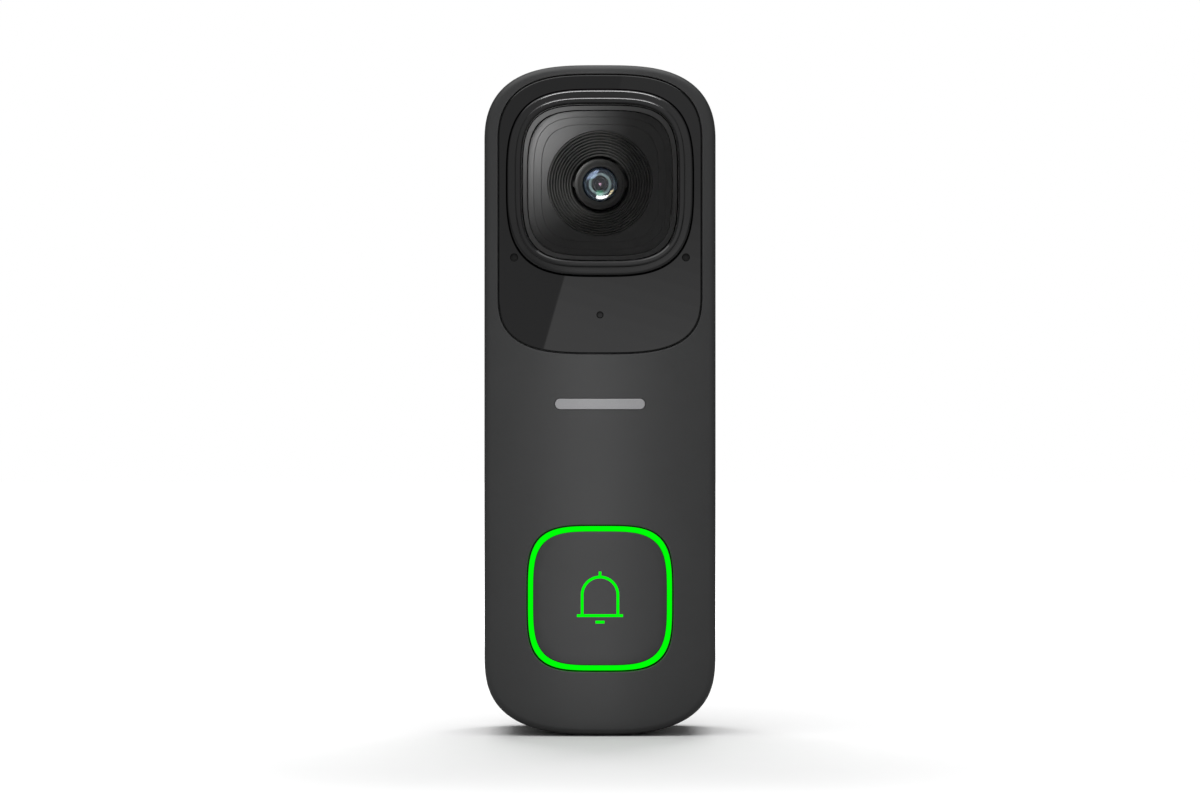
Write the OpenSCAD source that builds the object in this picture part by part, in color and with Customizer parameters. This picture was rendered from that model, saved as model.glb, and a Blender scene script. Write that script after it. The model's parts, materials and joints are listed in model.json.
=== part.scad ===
// Wired video doorbell, millimetres. The wall is the plane y = 0 and the doorbell faces -Y.
// +Z is up and +X is to the right of someone who faces the doorbell.
// The origin is halfway between the two wall screws, on the wall plane.

/* [Body] */
// width across the straight sides
body_w = 46; // [45:0.5:47]
// full height
body_h = 133.2; // [132.4:0.4:134.4]
// distance from the wall to the front skin
body_depth = 26; // [26:0.5:28]
// thickness of the casing's side walls
shell_wall = 2; // [1.8:0.1:2.2]
// radius that rounds the front edge
edge_r = 1.6; // [1:0.1:2]

/* [Wall bracket] */
// distance between the two wall screws
screw_spacing = 80; // [72:1:84]
// radius of each wall screw hole
wall_hole_r = 2.1; // [1.8:0.1:2.4]
// thickness of the bracket's plate
plate_t = 2; // [1.6:0.1:2.2]

/* [Camera] */
// half-width of the square-round window
window_half = 15.5; // [15:0.1:15.5]
// how far the bezel's wide step stands out of the panel
bezel_step = 1.15; // [0.8:0.05:1.4]
// number of ridges on the lens baffle
baffle_ribs = 9; // [7:1:10]

/* [Button] */
// half-width of the lit ring
ring_half = 14.29; // [13.8:0.01:14.3]
// width of the lit ring
ring_w = 0.95; // [0.7:0.05:1.2]
// line width of the bell symbol
bell_line = 0.55; // [0.45:0.05:0.7]

/* [Speaker] */
// number of sound holes in each row
grille_cols = 7; // [5:1:8]
// radius of each sound hole
grille_r = 0.7; // [0.5:0.1:0.8]

/* [Hidden] */

// colours
satin_grey = [0.070, 0.071, 0.072];
gloss_black = [0.012, 0.012, 0.013];
trim_black = [0.022, 0.022, 0.024];
matte_black = [0.010, 0.010, 0.010];
bracket_grey = [0.10, 0.10, 0.105];
smoked = [0.03, 0.035, 0.045, 0.35];
lens_glass = [0.10, 0.14, 0.22, 0.35];
board_green = [0.01, 0.09, 0.04];
steel = [0.55, 0.55, 0.56];
nickel = [0.62, 0.60, 0.55];
brass = [0.66, 0.50, 0.20];
lit_green = [0.0, 1.0, 0.01];
badge_grey = [0.42, 0.42, 0.43];
soft_black = [0.015, 0.015, 0.015];
foam_grey = [0.06, 0.06, 0.06];
chip_black = [0.02, 0.02, 0.025];
film_amber = [0.45, 0.20, 0.03];
pad_blue = [0.20, 0.35, 0.45];
copper = [0.60, 0.27, 0.12];
white_plastic = [0.75, 0.75, 0.73];

// outline of the casing: two straight sides closed by a superelliptic cap at each end
top_cap = 15.1;
foot_cap = 17;
top_pow = [3.15, 2.39];
foot_pow = [2.68, 3.02];
cap_steps = 30;
round_steps = 48;

// depths, all negative because the front is at -Y
rim_y = -1.6;
recess_y = -5;
rear_in_y = -6.8;
part_y = -10;
seam = 0.15;
front_y = -body_depth;
front_wall = 3;
front_in_y = front_y + front_wall;
edge_steps = 5;
rim_wall = shell_wall + 1;

// lip on the rear shell that enters the front shell
lip_h = 2.2;
lip_root_y = -8.6;
lip_fit = 0.15;
lip_in = 1.1;
lip_cut_y = part_y - lip_h - 0.8;
post_room = 0.4;

// hinge at the head of the bracket
hinge_y = -4.6;
hinge_z = body_h / 2 - 5.1;
rod_r = 1.2;
rod_half = 8;
rod_fit = 0.05;
lug_t = 1.4;
lug_r = 1.7;
hook_r = 2.25;
hook_half = 6;
pocket_half = 8.7;
pocket_floor_y = -7.6;
pocket_low = 4;
bracket_gap = 3.6;

// security screw at the foot
screw_y = -5.6;
foot_z = -body_h / 2;
foot_block_t = 4;
head_room = 2.8;
head_room_r = 2.9;
screw_slot_r = 1.75;
block_half = 5.3;
block_y = -10.6;
block_side_room = 0.7;
block_top_room = 0.35;
nut_r = 3;
nut_low = foot_z + 4.8;
nut_high = foot_z + 8.6;
nut_bore_r = 1.5;
shank_r = 1.42;
head_r = 2.5;
head_t = 1.6;
head_gap = 0.3;

// window in the bracket for the two chime wires
wire_z = -20;
wire_half_w = 11;
wire_half_h = 13;
wire_corner = 3;

// casing screws, at the four corners
top_screw = [12.9, body_h / 2 - 7];
low_screw = [17.3, -body_h / 2 + 15.4];
case_boss_r = 2.1;
case_pilot_r = 1.2;
case_hole_r = 1.35;
case_boss_front_y = -21.2;
web_half = 1.2;
web_h = 4.4;

// camera
lens_z = 43.1;
panel_half = 20.05;
panel_gap = 0.27;
panel_y = front_y - 0.05;
panel_t = 1.5;
panel_glue_t = 0.2;
panel_top_gap = 2.1;
panel_low_z = 9.33;
panel_low_cap = 11.5;
panel_low_pow = [3.3, 2.7];
bezel_half = 18.4;
bezel_pow = 3.2;
bezel_y = panel_y - bezel_step;
bezel_body_half = 17.2;
bezel_back_y = -21.5;
bezel_hole_half = 17.5;
glue_t = 0.1;
trim_half = 16.8;
trim_pow = 3.5;
trim_y = bezel_y - 0.7;
window_pow = 3.7;
window_gap = 0.15;
window_edge_y = trim_y + 0.4;
window_back_y = window_edge_y + 1.6;
seal_t = 0.2;
shelf_half = 14.5;
shelf2_half = 13.8;
dome_steps = [[0.97, 0.2], [0.91, 0.16], [0.80, 0.16], [0.64, 0.14], [0.42, 0.08]];
baffle_y = window_back_y + 0.55;
baffle_t = 1;
cone_r = 10.5;
cone_in_r = 5.7;
cone_back_y = -20.4;
barrel_front_y = -22;
barrel_r = 5.1;
barrel_in_r = 3.55;
thread_r = 6;
barrel_back_y = -15.2;
board_y = -13;
board_t = 1;
post_at = 12.5;
post_r = 1.4;
holder_front_y = -17.2;
holder_half_x = 10.5;
holder_half_z = 7.2;
filter_y = -14.75;
filter_t = 0.5;
filter_half_z = 3.2;
filter_low_x = -3;
filter_high_x = 8.5;
filter_shift = 5.5;
pane_half = 2.1;
led_at = 9.9;
led_r = 1.5;
led_skin = 0.5;
led_board_y = -22.6;

// ports beside and below the window
mic_x = 17.05;
mic_z = 28.3;
mic_r = 0.7;
sensor_z = 16.9;
sensor_r = 0.6;

// plain bar badge between the panel and the button
badge_z = -0.8;
badge_half_x = 9;
badge_half_z = 1.1;
badge_t = 0.3;

// button
button_z = -39.4;
button_pow = 3.8;
button_hole_half = 14.62;
ring_in_half = ring_half - ring_w;
cap_half = ring_in_half - 0.04;
cap_t = 1.6;
ring_t = 1.75;
carrier_front_y = -22.65;
carrier_t = 0.8;
carrier_half = 15.6;
guide_end_y = -16.9;
guide_at = 10.6;
guide_r = 1;
bell_depth = 0.35;
bell_r = 3.82;
bell_top = 4.53;
bell_nub_top = 5.34;
bell_base = -3.41;
bell_base_half = 4.58;
bell_clapper = -4.7;
bell_clapper_half = 0.9;
switch_board_y = -17;
switch_half = 3;
switch_front_y = -19.6;
plunger_r = 1.7;
plunger_front_y = -20.85;
pusher_y = -20.95;
board_post_x = 17.9;
board_post_z = [-1.6, 12.4];

// main board
main_y = -9.4;
main_back_y = -8.4;
main_half = 17;
main_low_z = -54;
main_high_z = 54;
main_screws = [[-12, -49], [12, -49], [-14.6, -2], [-14.6, 25], [14.6, 25]];
// parts on its front face: left, right, low, high, height
board_blocks = [
    [-7, 5, 5, 17, 1.8],      // processor
    [6.2, 10.2, 9, 19, 1.2],  // memory
    [-10, -4, -30, -24, 3],   // power coil
    [-1, 5, -30, -24, 3],     // power coil
    [8, 12, -31, -25, 2],     // converter
    [-8, -3, -44, -39, 1.4],  // audio amplifier
    [4, 11, -45, -39, 2.2],   // rectifier
    [-5, 5, 27.5, 30.5, 1.6], // socket for the camera's cable
    [-13, -9, -36, -33, 1.6]  // socket for the button's cable
];

// service bay in the right-hand side
bay_half_z = 12.3;
bay_x = 19;
bay_front_y = -9.2;
bay_back_y = -6.8;
flap_front_y = -8.88;
flap_half_z = 12;
flap_x = [21.75, 22.95];
bead_x = 22.2;
bead_y = -4;
bead_r = 0.65;
groove_r = 0.95;
lip_back_y = -2.7;
card_z = 5;
card_half_w = 5.5;
card_t = 0.7;
card_y = -8;
card_end_x = 18.8;
card_len = 15;
card_fit = 0.05;
reset_z = -7;
reset_y = -7.75;
reset_r = 0.8;
reset_fit = 0.08;
reset_back_x = main_half + 0.7;
stem_r = 0.35;
stem_x = 16.1;
click_x = 12.8;
click_half = 2.2;

// terminals
terminal_x = 6.5;
terminal_z = -20;

// speaker, firing downwards
spk_y = -17.2;
spk_half_x = 11;
spk_half_y = 5.1;
spk_low_z = -62;
spk_high_z = -56.2;
ledge_half = spk_half_x + 2;
ledge_back_y = -11.4;
duct_half_x = 8.6;
duct_half_y = 3.4;
grille_pitch = 2.1;

// ---------------------------------------------------------------- helpers

function signed_pow(v, e) = sign(v) * pow(abs(v), e);

function cap_pts(a, zc, b, e, t0) = [
    for (i = [0 : cap_steps])
        let (t = t0 + 180 * i / cap_steps)
        [a * signed_pow(cos(t), 2 / e[0]), zc + b * signed_pow(sin(t), 2 / e[1])]
];

// casing outline moved in by `side` on the straight sides and by `end` at the head and foot
module outline(side, end) {
    half = body_w / 2 - side;
    polygon(concat(
        cap_pts(half, body_h / 2 - top_cap, top_cap - end, top_pow, 0),
        cap_pts(half, -body_h / 2 + foot_cap, foot_cap - end, foot_pow, 180)
    ));
}

// square-round shape of half-width `half`
module squircle(half, e) {
    polygon([
        for (i = [0 : round_steps - 1])
            let (t = 360 * i / round_steps)
            [half * signed_pow(cos(t), 2 / e), half * signed_pow(sin(t), 2 / e)]
    ]);
}

// outline of the camera panel, grown by `grow`
module panel_outline(grow) {
    half = panel_half + grow;
    polygon(concat(
        cap_pts(half, body_h / 2 - top_cap, top_cap - panel_top_gap + grow, top_pow, 0),
        cap_pts(half, panel_low_z + panel_low_cap, panel_low_cap + grow, panel_low_pow, 180)
    ));
}

// slot shape along X with round ends
module racetrack(half_x, half_y) {
    run = half_x - half_y;
    square([2 * run, 2 * half_y], center = true);
    for (s = [-1, 1])
        translate([s * run, 0])
            circle(r = half_y, $fn = 48);
}

// rectangle with round corners, centred
module soft_rect(half_x, half_y, r) {
    square([2 * half_x, 2 * (half_y - r)], center = true);
    square([2 * (half_x - r), 2 * half_y], center = true);
    for (sx = [-1, 1], sy = [-1, 1])
        translate([sx * (half_x - r), sy * (half_y - r)])
            circle(r = r, $fn = 48);
}

// a flat shape drawn in X and Z, made solid between two depths
module layer(y_front, y_back) {
    translate([0, y_back, 0])
        rotate([90, 0, 0])
            linear_extrude(height = y_back - y_front)
                children();
}

// round bar along Y between two depths
module y_rod(r, y_front, y_back) {
    translate([0, y_back, 0])
        rotate([90, 0, 0])
            cylinder(h = y_back - y_front, r = r, $fn = 64);
}

// round bar along X between two ends
module x_rod(r, x0, x1) {
    translate([x0, 0, 0])
        rotate([0, 90, 0])
            cylinder(h = x1 - x0, r = r, $fn = 64);
}

// box between two opposite corners
module span(p, q) {
    translate(p)
        cube(q - p);
}

module at_lens() {
    translate([0, 0, lens_z])
        children();
}

module at_button() {
    translate([0, 0, button_z])
        children();
}

// copies children to the four places [x, z], [-x, z], [x, -z], [-x, -z]
module four(x, z) {
    for (sx = [-1, 1], sz = [-1, 1])
        translate([sx * x, 0, sz * z])
            children();
}

// copies children to the four casing screws
module case_corners() {
    for (s = [-1, 1]) {
        translate([s * top_screw[0], 0, top_screw[1]])
            children();
        translate([s * low_screw[0], 0, low_screw[1]])
            children();
    }
}

// ---------------------------------------------------------------- wall bracket

module bracket_plate() {
    layer(-plate_t, 0)
        difference() {
            outline(bracket_gap, bracket_gap);
            translate([0, wire_z])
                soft_rect(wire_half_w, wire_half_h, wire_corner);
            for (s = [-1, 1])
                translate([0, s * screw_spacing / 2])
                    circle(r = wall_hole_r, $fn = 64);
        }
}

module bracket_ribs() {
    rib_half = body_w / 2 - bracket_gap;
    for (s = [-1, 1])
        translate([s * (rib_half - 0.8), 0, 0])
            span([-0.8, -4.2, -38], [0.8, -plate_t + 0.1, 50]);
}

module bracket_lugs() {
    for (s = [-1, 1])
        translate([s * (rod_half - lug_t / 2), hinge_y, hinge_z]) {
            x_rod(lug_r, -lug_t / 2, lug_t / 2);
            span([-lug_t / 2, 0, -lug_r], [lug_t / 2, -hinge_y - plate_t + 0.1, lug_r - 0.2]);
        }
}

module wall_bracket() {
    color(bracket_grey)
        difference() {
            union() {
                bracket_plate();
                bracket_ribs();
                bracket_lugs();
                translate([0, screw_y, nut_low])
                    cylinder(h = nut_high - nut_low, r = nut_r, $fn = 64);
                span([-nut_r, screw_y, nut_low], [nut_r, -plate_t + 0.1, nut_high]);
            }
            for (s = [-1, 1])
                translate([0, 0, s * screw_spacing / 2])
                    y_rod(4.2, -plate_t - 1, -plate_t + 0.6);
            translate([0, hinge_y, hinge_z])
                x_rod(rod_r + 0.02, -rod_half - 1, rod_half + 1);
            // room for the block that carries the security screw's head
            span([-block_half - block_side_room, -plate_t - 0.1, foot_z],
                [block_half + block_side_room, 1, foot_z + foot_block_t + block_top_room]);
            translate([0, screw_y, nut_low - 1])
                cylinder(h = nut_high - nut_low + 2, r = nut_bore_r, $fn = 64);
        }
}

module hinge_rod() {
    color(steel)
        translate([0, hinge_y, hinge_z])
            x_rod(rod_r, -rod_half, rod_half);
}

module security_screw() {
    color(steel)
        translate([0, screw_y, 0])
            difference() {
                union() {
                    translate([0, 0, foot_z + head_room - head_gap - head_t])
                        cylinder(h = head_t, r = head_r, $fn = 64);
                    translate([0, 0, foot_z + head_room - head_gap - 0.1])
                        cylinder(h = nut_high - foot_z - head_room + 1.2, r = shank_r, $fn = 64);
                }
                translate([0, 0, foot_z + head_room - head_gap - head_t - 0.1])
                    cylinder(h = 1, r = 1.2, $fn = 6);
            }
}

// ---------------------------------------------------------------- casing

module hinge_hook() {
    translate([0, hinge_y, hinge_z])
        difference() {
            union() {
                x_rod(hook_r, -hook_half, hook_half);
                span([-hook_half, pocket_floor_y - hinge_y - 0.2, 0.6], [hook_half, 0, 3.6]);
            }
            x_rod(rod_r + rod_fit, -hook_half - 1, hook_half + 1);
            span([-hook_half - 1, -6, -6], [hook_half + 1, 6, 0]);
        }
}

module rear_blocks() {
    // walls round the hinge pocket and the bracket's nut
    intersection() {
        union() {
            span([-pocket_half - 1.3, pocket_floor_y - 1.4, hinge_z - pocket_low - 1.4],
                [pocket_half + 1.3, recess_y, body_h / 2]);
            span([-block_half, block_y, foot_z], [block_half, recess_y, nut_high + 2.6]);
            span([-block_half, recess_y - 0.1, foot_z], [block_half, rim_y, foot_z + foot_block_t]);
        }
        union() {
            layer(part_y, rim_y)
                outline(0.6, 0.6);
            layer(block_y - 1, part_y + 0.1)
                outline(shell_wall + 2 * lip_fit, shell_wall + 2 * lip_fit);
        }
    }
    // floor of the service bay
    span([bay_x - 1.4, part_y, -bay_half_z - 1.4], [body_w / 2 - 1, rear_in_y + 0.1, bay_half_z + 1.4]);
    // posts for the casing screws and for the main board
    case_corners()
        y_rod(case_boss_r + 0.2, part_y, rear_in_y + 0.1);
    for (p = main_screws)
        translate([p[0], 0, p[1]])
            y_rod(1.9, main_back_y, rear_in_y + 0.1);
}

module rear_lip() {
    layer(part_y - lip_h, lip_root_y)
        difference() {
            outline(shell_wall + lip_fit, shell_wall + lip_fit);
            outline(shell_wall + lip_in, shell_wall + lip_in);
        }
    // root that ties the lip to the wall
    layer(part_y, lip_root_y)
        difference() {
            outline(shell_wall - 0.3, shell_wall - 0.3);
            outline(shell_wall + lip_in, shell_wall + lip_in);
        }
}

module rear_cuts() {
    // pocket for the hinge, without the hook
    intersection() {
        span([-pocket_half, pocket_floor_y, hinge_z - pocket_low], [pocket_half, 0, body_h / 2]);
        layer(pocket_floor_y, 1)
            outline(rim_wall, shell_wall);
    }
    // pocket for the bracket's nut and the slot for the security screw
    span([-3.9, -9.2, foot_z + foot_block_t], [3.9, 0, nut_high + 1.2]);
    for (c = [[screw_slot_r, foot_block_t + 0.5], [head_room_r, head_room]])
        translate([0, screw_y, foot_z - 1]) {
            cylinder(h = c[1] + 1, r = c[0], $fn = 64);
            span([-c[0], 0, 0], [c[0], 8, c[1] + 1]);
        }
    // service bay, groove for the flap's bead, slot for the card, hole for the reset button
    span([bay_x, bay_front_y, -bay_half_z], [body_w, bay_back_y, bay_half_z]);
    span([flap_x[0] - 0.4, bay_front_y, -bay_half_z], [body_w, bead_y, bay_half_z]);
    span([bead_x, bay_front_y, -bay_half_z], [body_w, lip_back_y, bay_half_z]);
    translate([bead_x, bead_y, -bay_half_z])
        cylinder(h = 2 * bay_half_z, r = groove_r, $fn = 64);
    span([bay_x - 2, card_y - 0.3, card_z - card_half_w - 0.3],
        [body_w, card_y + card_t + 0.3, card_z + card_half_w + 0.3]);
    translate([0, reset_y, reset_z])
        x_rod(reset_r + reset_fit, bay_x - 2, bay_x + 1);
    // terminals
    for (s = [-1, 1])
        translate([s * terminal_x, 0, terminal_z])
            y_rod(2.3, rear_in_y - 1, recess_y + 1);
    // screws
    case_corners()
        y_rod(case_hole_r, part_y - 1, recess_y + 1);
    for (p = main_screws)
        translate([p[0], 0, p[1]])
            y_rod(0.8, main_back_y - 1, rear_in_y + 0.6);
    // room in the lip for the front shell's posts, webs and speaker ledge
    case_corners()
        y_rod(case_boss_r + post_room, lip_cut_y, part_y);
    for (s = [-1, 1])
        translate([s * top_screw[0], 0, top_screw[1]])
            span([-web_half - post_room, lip_cut_y, 0], [web_half + post_room, part_y, web_h + 1.6]);
    span([-ledge_half - post_room, lip_cut_y, foot_z],
        [ledge_half + post_room, ledge_back_y + 0.5, spk_low_z]);
}

module rear_housing() {
    color(satin_grey)
        union() {
            difference() {
                union() {
                    difference() {
                        layer(part_y, rim_y)
                            outline(0, 0);
                        layer(recess_y, 1)
                            outline(rim_wall, shell_wall);
                        layer(part_y - 1, rear_in_y)
                            outline(shell_wall, shell_wall);
                    }
                    rear_blocks();
                    rear_lip();
                }
                rear_cuts();
            }
            hinge_hook();
        }
}

module shell_skin() {
    difference() {
        union() {
            layer(front_y + edge_r, part_y - seam)
                outline(0, 0);
            for (i = [0 : edge_steps - 1]) {
                d = edge_r * (edge_steps - i - 0.5) / edge_steps;
                inset = edge_r - sqrt(edge_r * edge_r - (edge_r - d) * (edge_r - d));
                layer(front_y + edge_r - edge_r * (i + 1) / edge_steps, front_y + edge_r + 0.1)
                    outline(inset, inset);
            }
        }
        layer(front_in_y, part_y + 1)
            outline(shell_wall, shell_wall);
    }
}

module shell_inside() {
    // casing screw posts, each tied to the wall
    for (s = [-1, 1]) {
        translate([s * top_screw[0], 0, top_screw[1]]) {
            y_rod(case_boss_r, case_boss_front_y, part_y - seam);
            span([-web_half, case_boss_front_y, 0], [web_half, part_y - seam, web_h]);
        }
        translate([s * low_screw[0], 0, low_screw[1]])
            y_rod(case_boss_r, front_in_y - 0.1, part_y - seam);
        // posts for the button board
        for (dz = board_post_z)
            translate([s * board_post_x, 0, button_z + dz])
                y_rod(1.7, front_in_y - 0.1, switch_board_y);
    }
    // ledge for the speaker
    intersection() {
        span([-ledge_half, front_in_y - 0.1, foot_z], [ledge_half, ledge_back_y, spk_low_z - 0.4]);
        layer(front_y + edge_r, part_y)
            outline(0.6, 0.6);
    }
}

module shell_cuts() {
    // pocket and openings for the camera panel
    layer(panel_y - 1, panel_y + panel_t + panel_glue_t)
        panel_outline(panel_gap);
    at_lens()
        layer(front_y - 1, front_in_y + 1)
            squircle(bezel_hole_half, bezel_pow);
    for (s = [-1, 1])
        translate([s * mic_x, 0, mic_z])
            y_rod(mic_r, front_y - 1, front_in_y + 1);
    translate([0, 0, sensor_z])
        y_rod(sensor_r + 0.2, front_y - 1, front_in_y + 1);
    // opening for the button
    at_button()
        layer(front_y - 1, front_in_y + 1)
            squircle(button_hole_half, button_pow);
    // shallow seat for the badge
    translate([0, 0, badge_z])
        layer(front_y - 1, front_y + badge_t)
            racetrack(badge_half_x, badge_half_z);
    // groove for the seal
    layer(part_y - seam - 0.7, part_y + 1)
        difference() {
            outline(0.7, 0.7);
            outline(1.4, 1.4);
        }
    // speaker duct and sound holes
    translate([0, spk_y, foot_z + shell_wall])
        linear_extrude(height = spk_low_z - foot_z)
            racetrack(duct_half_x, duct_half_y);
    for (i = [0 : grille_cols - 1], j = [-1, 0, 1])
        translate([(i - (grille_cols - 1) / 2) * grille_pitch, spk_y + j * grille_pitch, foot_z - 1])
            cylinder(h = shell_wall + 2, r = grille_r, $fn = 24);
    // pilot holes
    case_corners()
        y_rod(case_pilot_r, -18.4, part_y + 1);
    for (s = [-1, 1], dz = board_post_z)
        translate([s * board_post_x, 0, button_z + dz])
            y_rod(0.8, -21.5, switch_board_y + 1);
}

module front_shell() {
    color(satin_grey)
        difference() {
            union() {
                shell_skin();
                shell_inside();
            }
            shell_cuts();
        }
}

module housing_seal() {
    color(soft_black)
        layer(part_y - seam - 0.6, part_y)
            difference() {
                outline(0.78, 0.78);
                outline(1.32, 1.32);
            }
}

module housing_screws() {
    color(steel)
        case_corners()
            difference() {
                union() {
                    y_rod(1.95, recess_y, recess_y + 1.3);
                    y_rod(case_pilot_r - 0.05, -17.6, recess_y + 0.1);
                }
                translate([0, recess_y + 1.4, 0])
                    rotate([90, 0, 0])
                        cylinder(h = 0.9, r = 0.9, $fn = 6);
            }
}

module badge_bar() {
    color(badge_grey)
        translate([0, 0, badge_z])
            layer(front_y - 0.05, front_y + badge_t)
                racetrack(badge_half_x - 0.05, badge_half_z - 0.05);
}

// ---------------------------------------------------------------- camera panel and bezel

module camera_panel() {
    color(gloss_black)
        difference() {
            layer(panel_y, panel_y + panel_t)
                panel_outline(0);
            at_lens()
                layer(panel_y - 1, panel_y + panel_t + 1)
                    squircle(bezel_hole_half, bezel_pow);
            for (s = [-1, 1])
                translate([s * mic_x, 0, mic_z])
                    y_rod(mic_r, panel_y - 1, panel_y + panel_t + 1);
            translate([0, 0, sensor_z])
                y_rod(sensor_r, panel_y - 1, panel_y + panel_t + 1);
        }
}

// one glue line under the panel and one under the bezel's flange
module adhesives() {
    color(matte_black) {
        layer(panel_y + panel_t, panel_y + panel_t + panel_glue_t)
            difference() {
                panel_outline(-0.4);
                panel_outline(-1.2);
            }
        at_lens()
            layer(panel_y - glue_t, panel_y)
                difference() {
                    squircle(bezel_half - 0.2, bezel_pow);
                    squircle(bezel_hole_half + 0.1, bezel_pow);
                }
    }
}

module bezel_shape() {
    layer(bezel_y, panel_y - glue_t)
        squircle(bezel_half, bezel_pow);
    layer(panel_y - glue_t - 0.1, bezel_back_y)
        squircle(bezel_body_half, bezel_pow);
    four(post_at, post_at)
        y_rod(post_r, bezel_back_y - 0.2, board_y);
}

module lens_bezel() {
    color(trim_black)
        at_lens()
            difference() {
                bezel_shape();
                layer(bezel_y - 1, window_back_y + seal_t)
                    squircle(window_half + window_gap, window_pow);
                layer(bezel_y - 1, baffle_y + baffle_t)
                    squircle(shelf_half, window_pow);
                layer(bezel_y - 1, bezel_back_y)
                    squircle(shelf2_half, window_pow);
                four(post_at, post_at)
                    y_rod(0.8, bezel_back_y + 2, board_y + 1);
            }
}

module bezel_trim() {
    color(trim_black)
        at_lens()
            layer(trim_y, bezel_y)
                difference() {
                    squircle(trim_half, trim_pow);
                    squircle(window_half + window_gap, window_pow);
                }
}

module window_glass() {
    color(smoked)
        at_lens() {
            layer(window_edge_y, window_back_y)
                squircle(window_half, window_pow);
            for (i = [0 : len(dome_steps) - 1]) {
                rise = [for (k = [0 : i]) dome_steps[k][1]] * [for (k = [0 : i]) 1];
                layer(window_edge_y - rise, window_edge_y - rise + dome_steps[i][1] + 0.01)
                    squircle(window_half * dome_steps[i][0], window_pow - 0.1 * i);
            }
        }
}

module window_seal() {
    color(soft_black)
        at_lens()
            layer(window_back_y, window_back_y + seal_t)
                difference() {
                    squircle(window_half - 0.1, window_pow);
                    squircle(shelf_half + 0.05, window_pow);
                }
}

// ---------------------------------------------------------------- camera

// stepped funnel: each rib is a flat tread and a short riser, falling back towards the lens
module baffle_cone() {
    run = (cone_r - cone_in_r) / baffle_ribs;
    front = baffle_y + 0.3;
    fall = (cone_back_y - front) / baffle_ribs;
    for (i = [0 : baffle_ribs - 1]) {
        y0 = front + fall * i;
        difference() {
            y_rod(cone_r - run * i + 0.45, y0, y0 + fall + 0.25);
            y_rod(cone_r - run * i, y0 - 0.1, y0 + fall * 0.55);
            y_rod(cone_r - run * (i + 1), y0 - 0.1, y0 + fall + 0.3);
        }
        // raised crest on the rib
        difference() {
            y_rod(cone_r - run * i - 0.02, y0 + fall * 0.3, y0 + fall + 0.1);
            y_rod(cone_r - run * i - run * 0.45, y0, y0 + fall + 0.2);
        }
    }
}

module lens_baffle() {
    color(matte_black)
        at_lens() {
            difference() {
                layer(baffle_y, baffle_y + baffle_t)
                    squircle(shelf_half - 0.15, window_pow);
                layer(baffle_y - 1, baffle_y + 0.15)
                    squircle(13.2, window_pow);
                layer(baffle_y - 1, baffle_y + 0.3)
                    squircle(11.7, window_pow);
                y_rod(cone_r, baffle_y - 1, baffle_y + baffle_t + 1);
                // blind pockets behind the plate for the infrared lamps
                four(led_at, led_at)
                    y_rod(led_r + 0.1, baffle_y + led_skin, baffle_y + baffle_t + 1);
            }
            baffle_cone();
        }
}

module lens_barrel() {
    color(trim_black)
        at_lens()
            difference() {
                union() {
                    y_rod(barrel_r, barrel_front_y, -16.4);
                    y_rod(thread_r, -18.2, barrel_back_y);
                    for (x = [-4.9, 4.9])
                        span([x - 0.5, barrel_front_y + 0.2, -0.7], [x + 0.5, barrel_front_y + 1.2, 0.7]);
                }
                y_rod(barrel_in_r, barrel_front_y - 1, -20.6);
                y_rod(2.65, -20.7, -18.6);
                y_rod(3.3, -18.7, -15.6);
                y_rod(2.4, -15.7, barrel_back_y + 1);
            }
}

module front_lens() {
    color(lens_glass)
        at_lens()
            rotate([90, 0, 0])
                rotate_extrude($fn = 96)
                    polygon([
                        [0, 20.7],
                        [3.5, 20.7],
                        for (i = [0 : 10])
                            [3.5 * cos(9 * i), 21.4 + 0.95 * sin(9 * i)]
                    ]);
}

module inner_lenses() {
    color(lens_glass)
        at_lens() {
            y_rod(2.6, -19.6, -18.9);
            y_rod(3.2, -18.5, -17.4);
            y_rod(3.2, -16.9, -15.8);
        }
}

module lens_spacer() {
    color(nickel)
        at_lens()
            difference() {
                y_rod(2.62, -20.6, -19.7);
                y_rod(1.7, -20.7, -19.6);
            }
}

module lens_holder() {
    slot_front = filter_y - 0.05;
    color(matte_black)
        at_lens()
            difference() {
                layer(holder_front_y, board_y)
                    soft_rect(holder_half_x, holder_half_z, 1);
                y_rod(thread_r + 0.05, holder_front_y - 1, slot_front + 0.1);
                layer(slot_front, filter_y + filter_t + 0.05)
                    square([2 * (filter_high_x + 0.35), 2 * (filter_half_z + 0.05)], center = true);
                layer(filter_y, board_y + 1)
                    square([7.4, 6], center = true);
            }
}

module filter_frame() {
    color(steel)
        at_lens()
            difference() {
                span([filter_low_x, filter_y, -filter_half_z],
                    [filter_high_x, filter_y + filter_t, filter_half_z]);
                for (x = [0, filter_shift])
                    translate([x, 0, 0])
                        layer(filter_y - 1, filter_y + filter_t + 1)
                            square(2 * pane_half, center = true);
            }
}

module filter_panes() {
    color(lens_glass)
        at_lens()
            for (x = [0, filter_shift])
                translate([x, 0, 0])
                    layer(filter_y + 0.1, filter_y + filter_t - 0.1)
                        square(2 * pane_half, center = true);
}

module filter_coil() {
    color(copper)
        at_lens()
            translate([0, -15.2, -holder_half_z - 2.2])
                difference() {
                    union() {
                        x_rod(1.7, -3.4, 3.4);
                        for (s = [-1, 1])
                            x_rod(2.1, s * 3.2 - 0.4, s * 3.2 + 0.4);
                    }
                    x_rod(0.7, -5, 5);
                }
}

module image_sensor() {
    color(chip_black)
        at_lens()
            span([-3.2, board_y - 0.7, -2.6], [3.2, board_y, 2.6]);
}

module camera_board() {
    color(board_green)
        at_lens()
            layer(board_y, board_y + board_t)
                difference() {
                    soft_rect(14, 14, 1.5);
                    for (sx = [-1, 1], sz = [-1, 1])
                        translate([sx * post_at, sz * post_at])
                            circle(r = 0.95, $fn = 32);
                }
}

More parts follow.
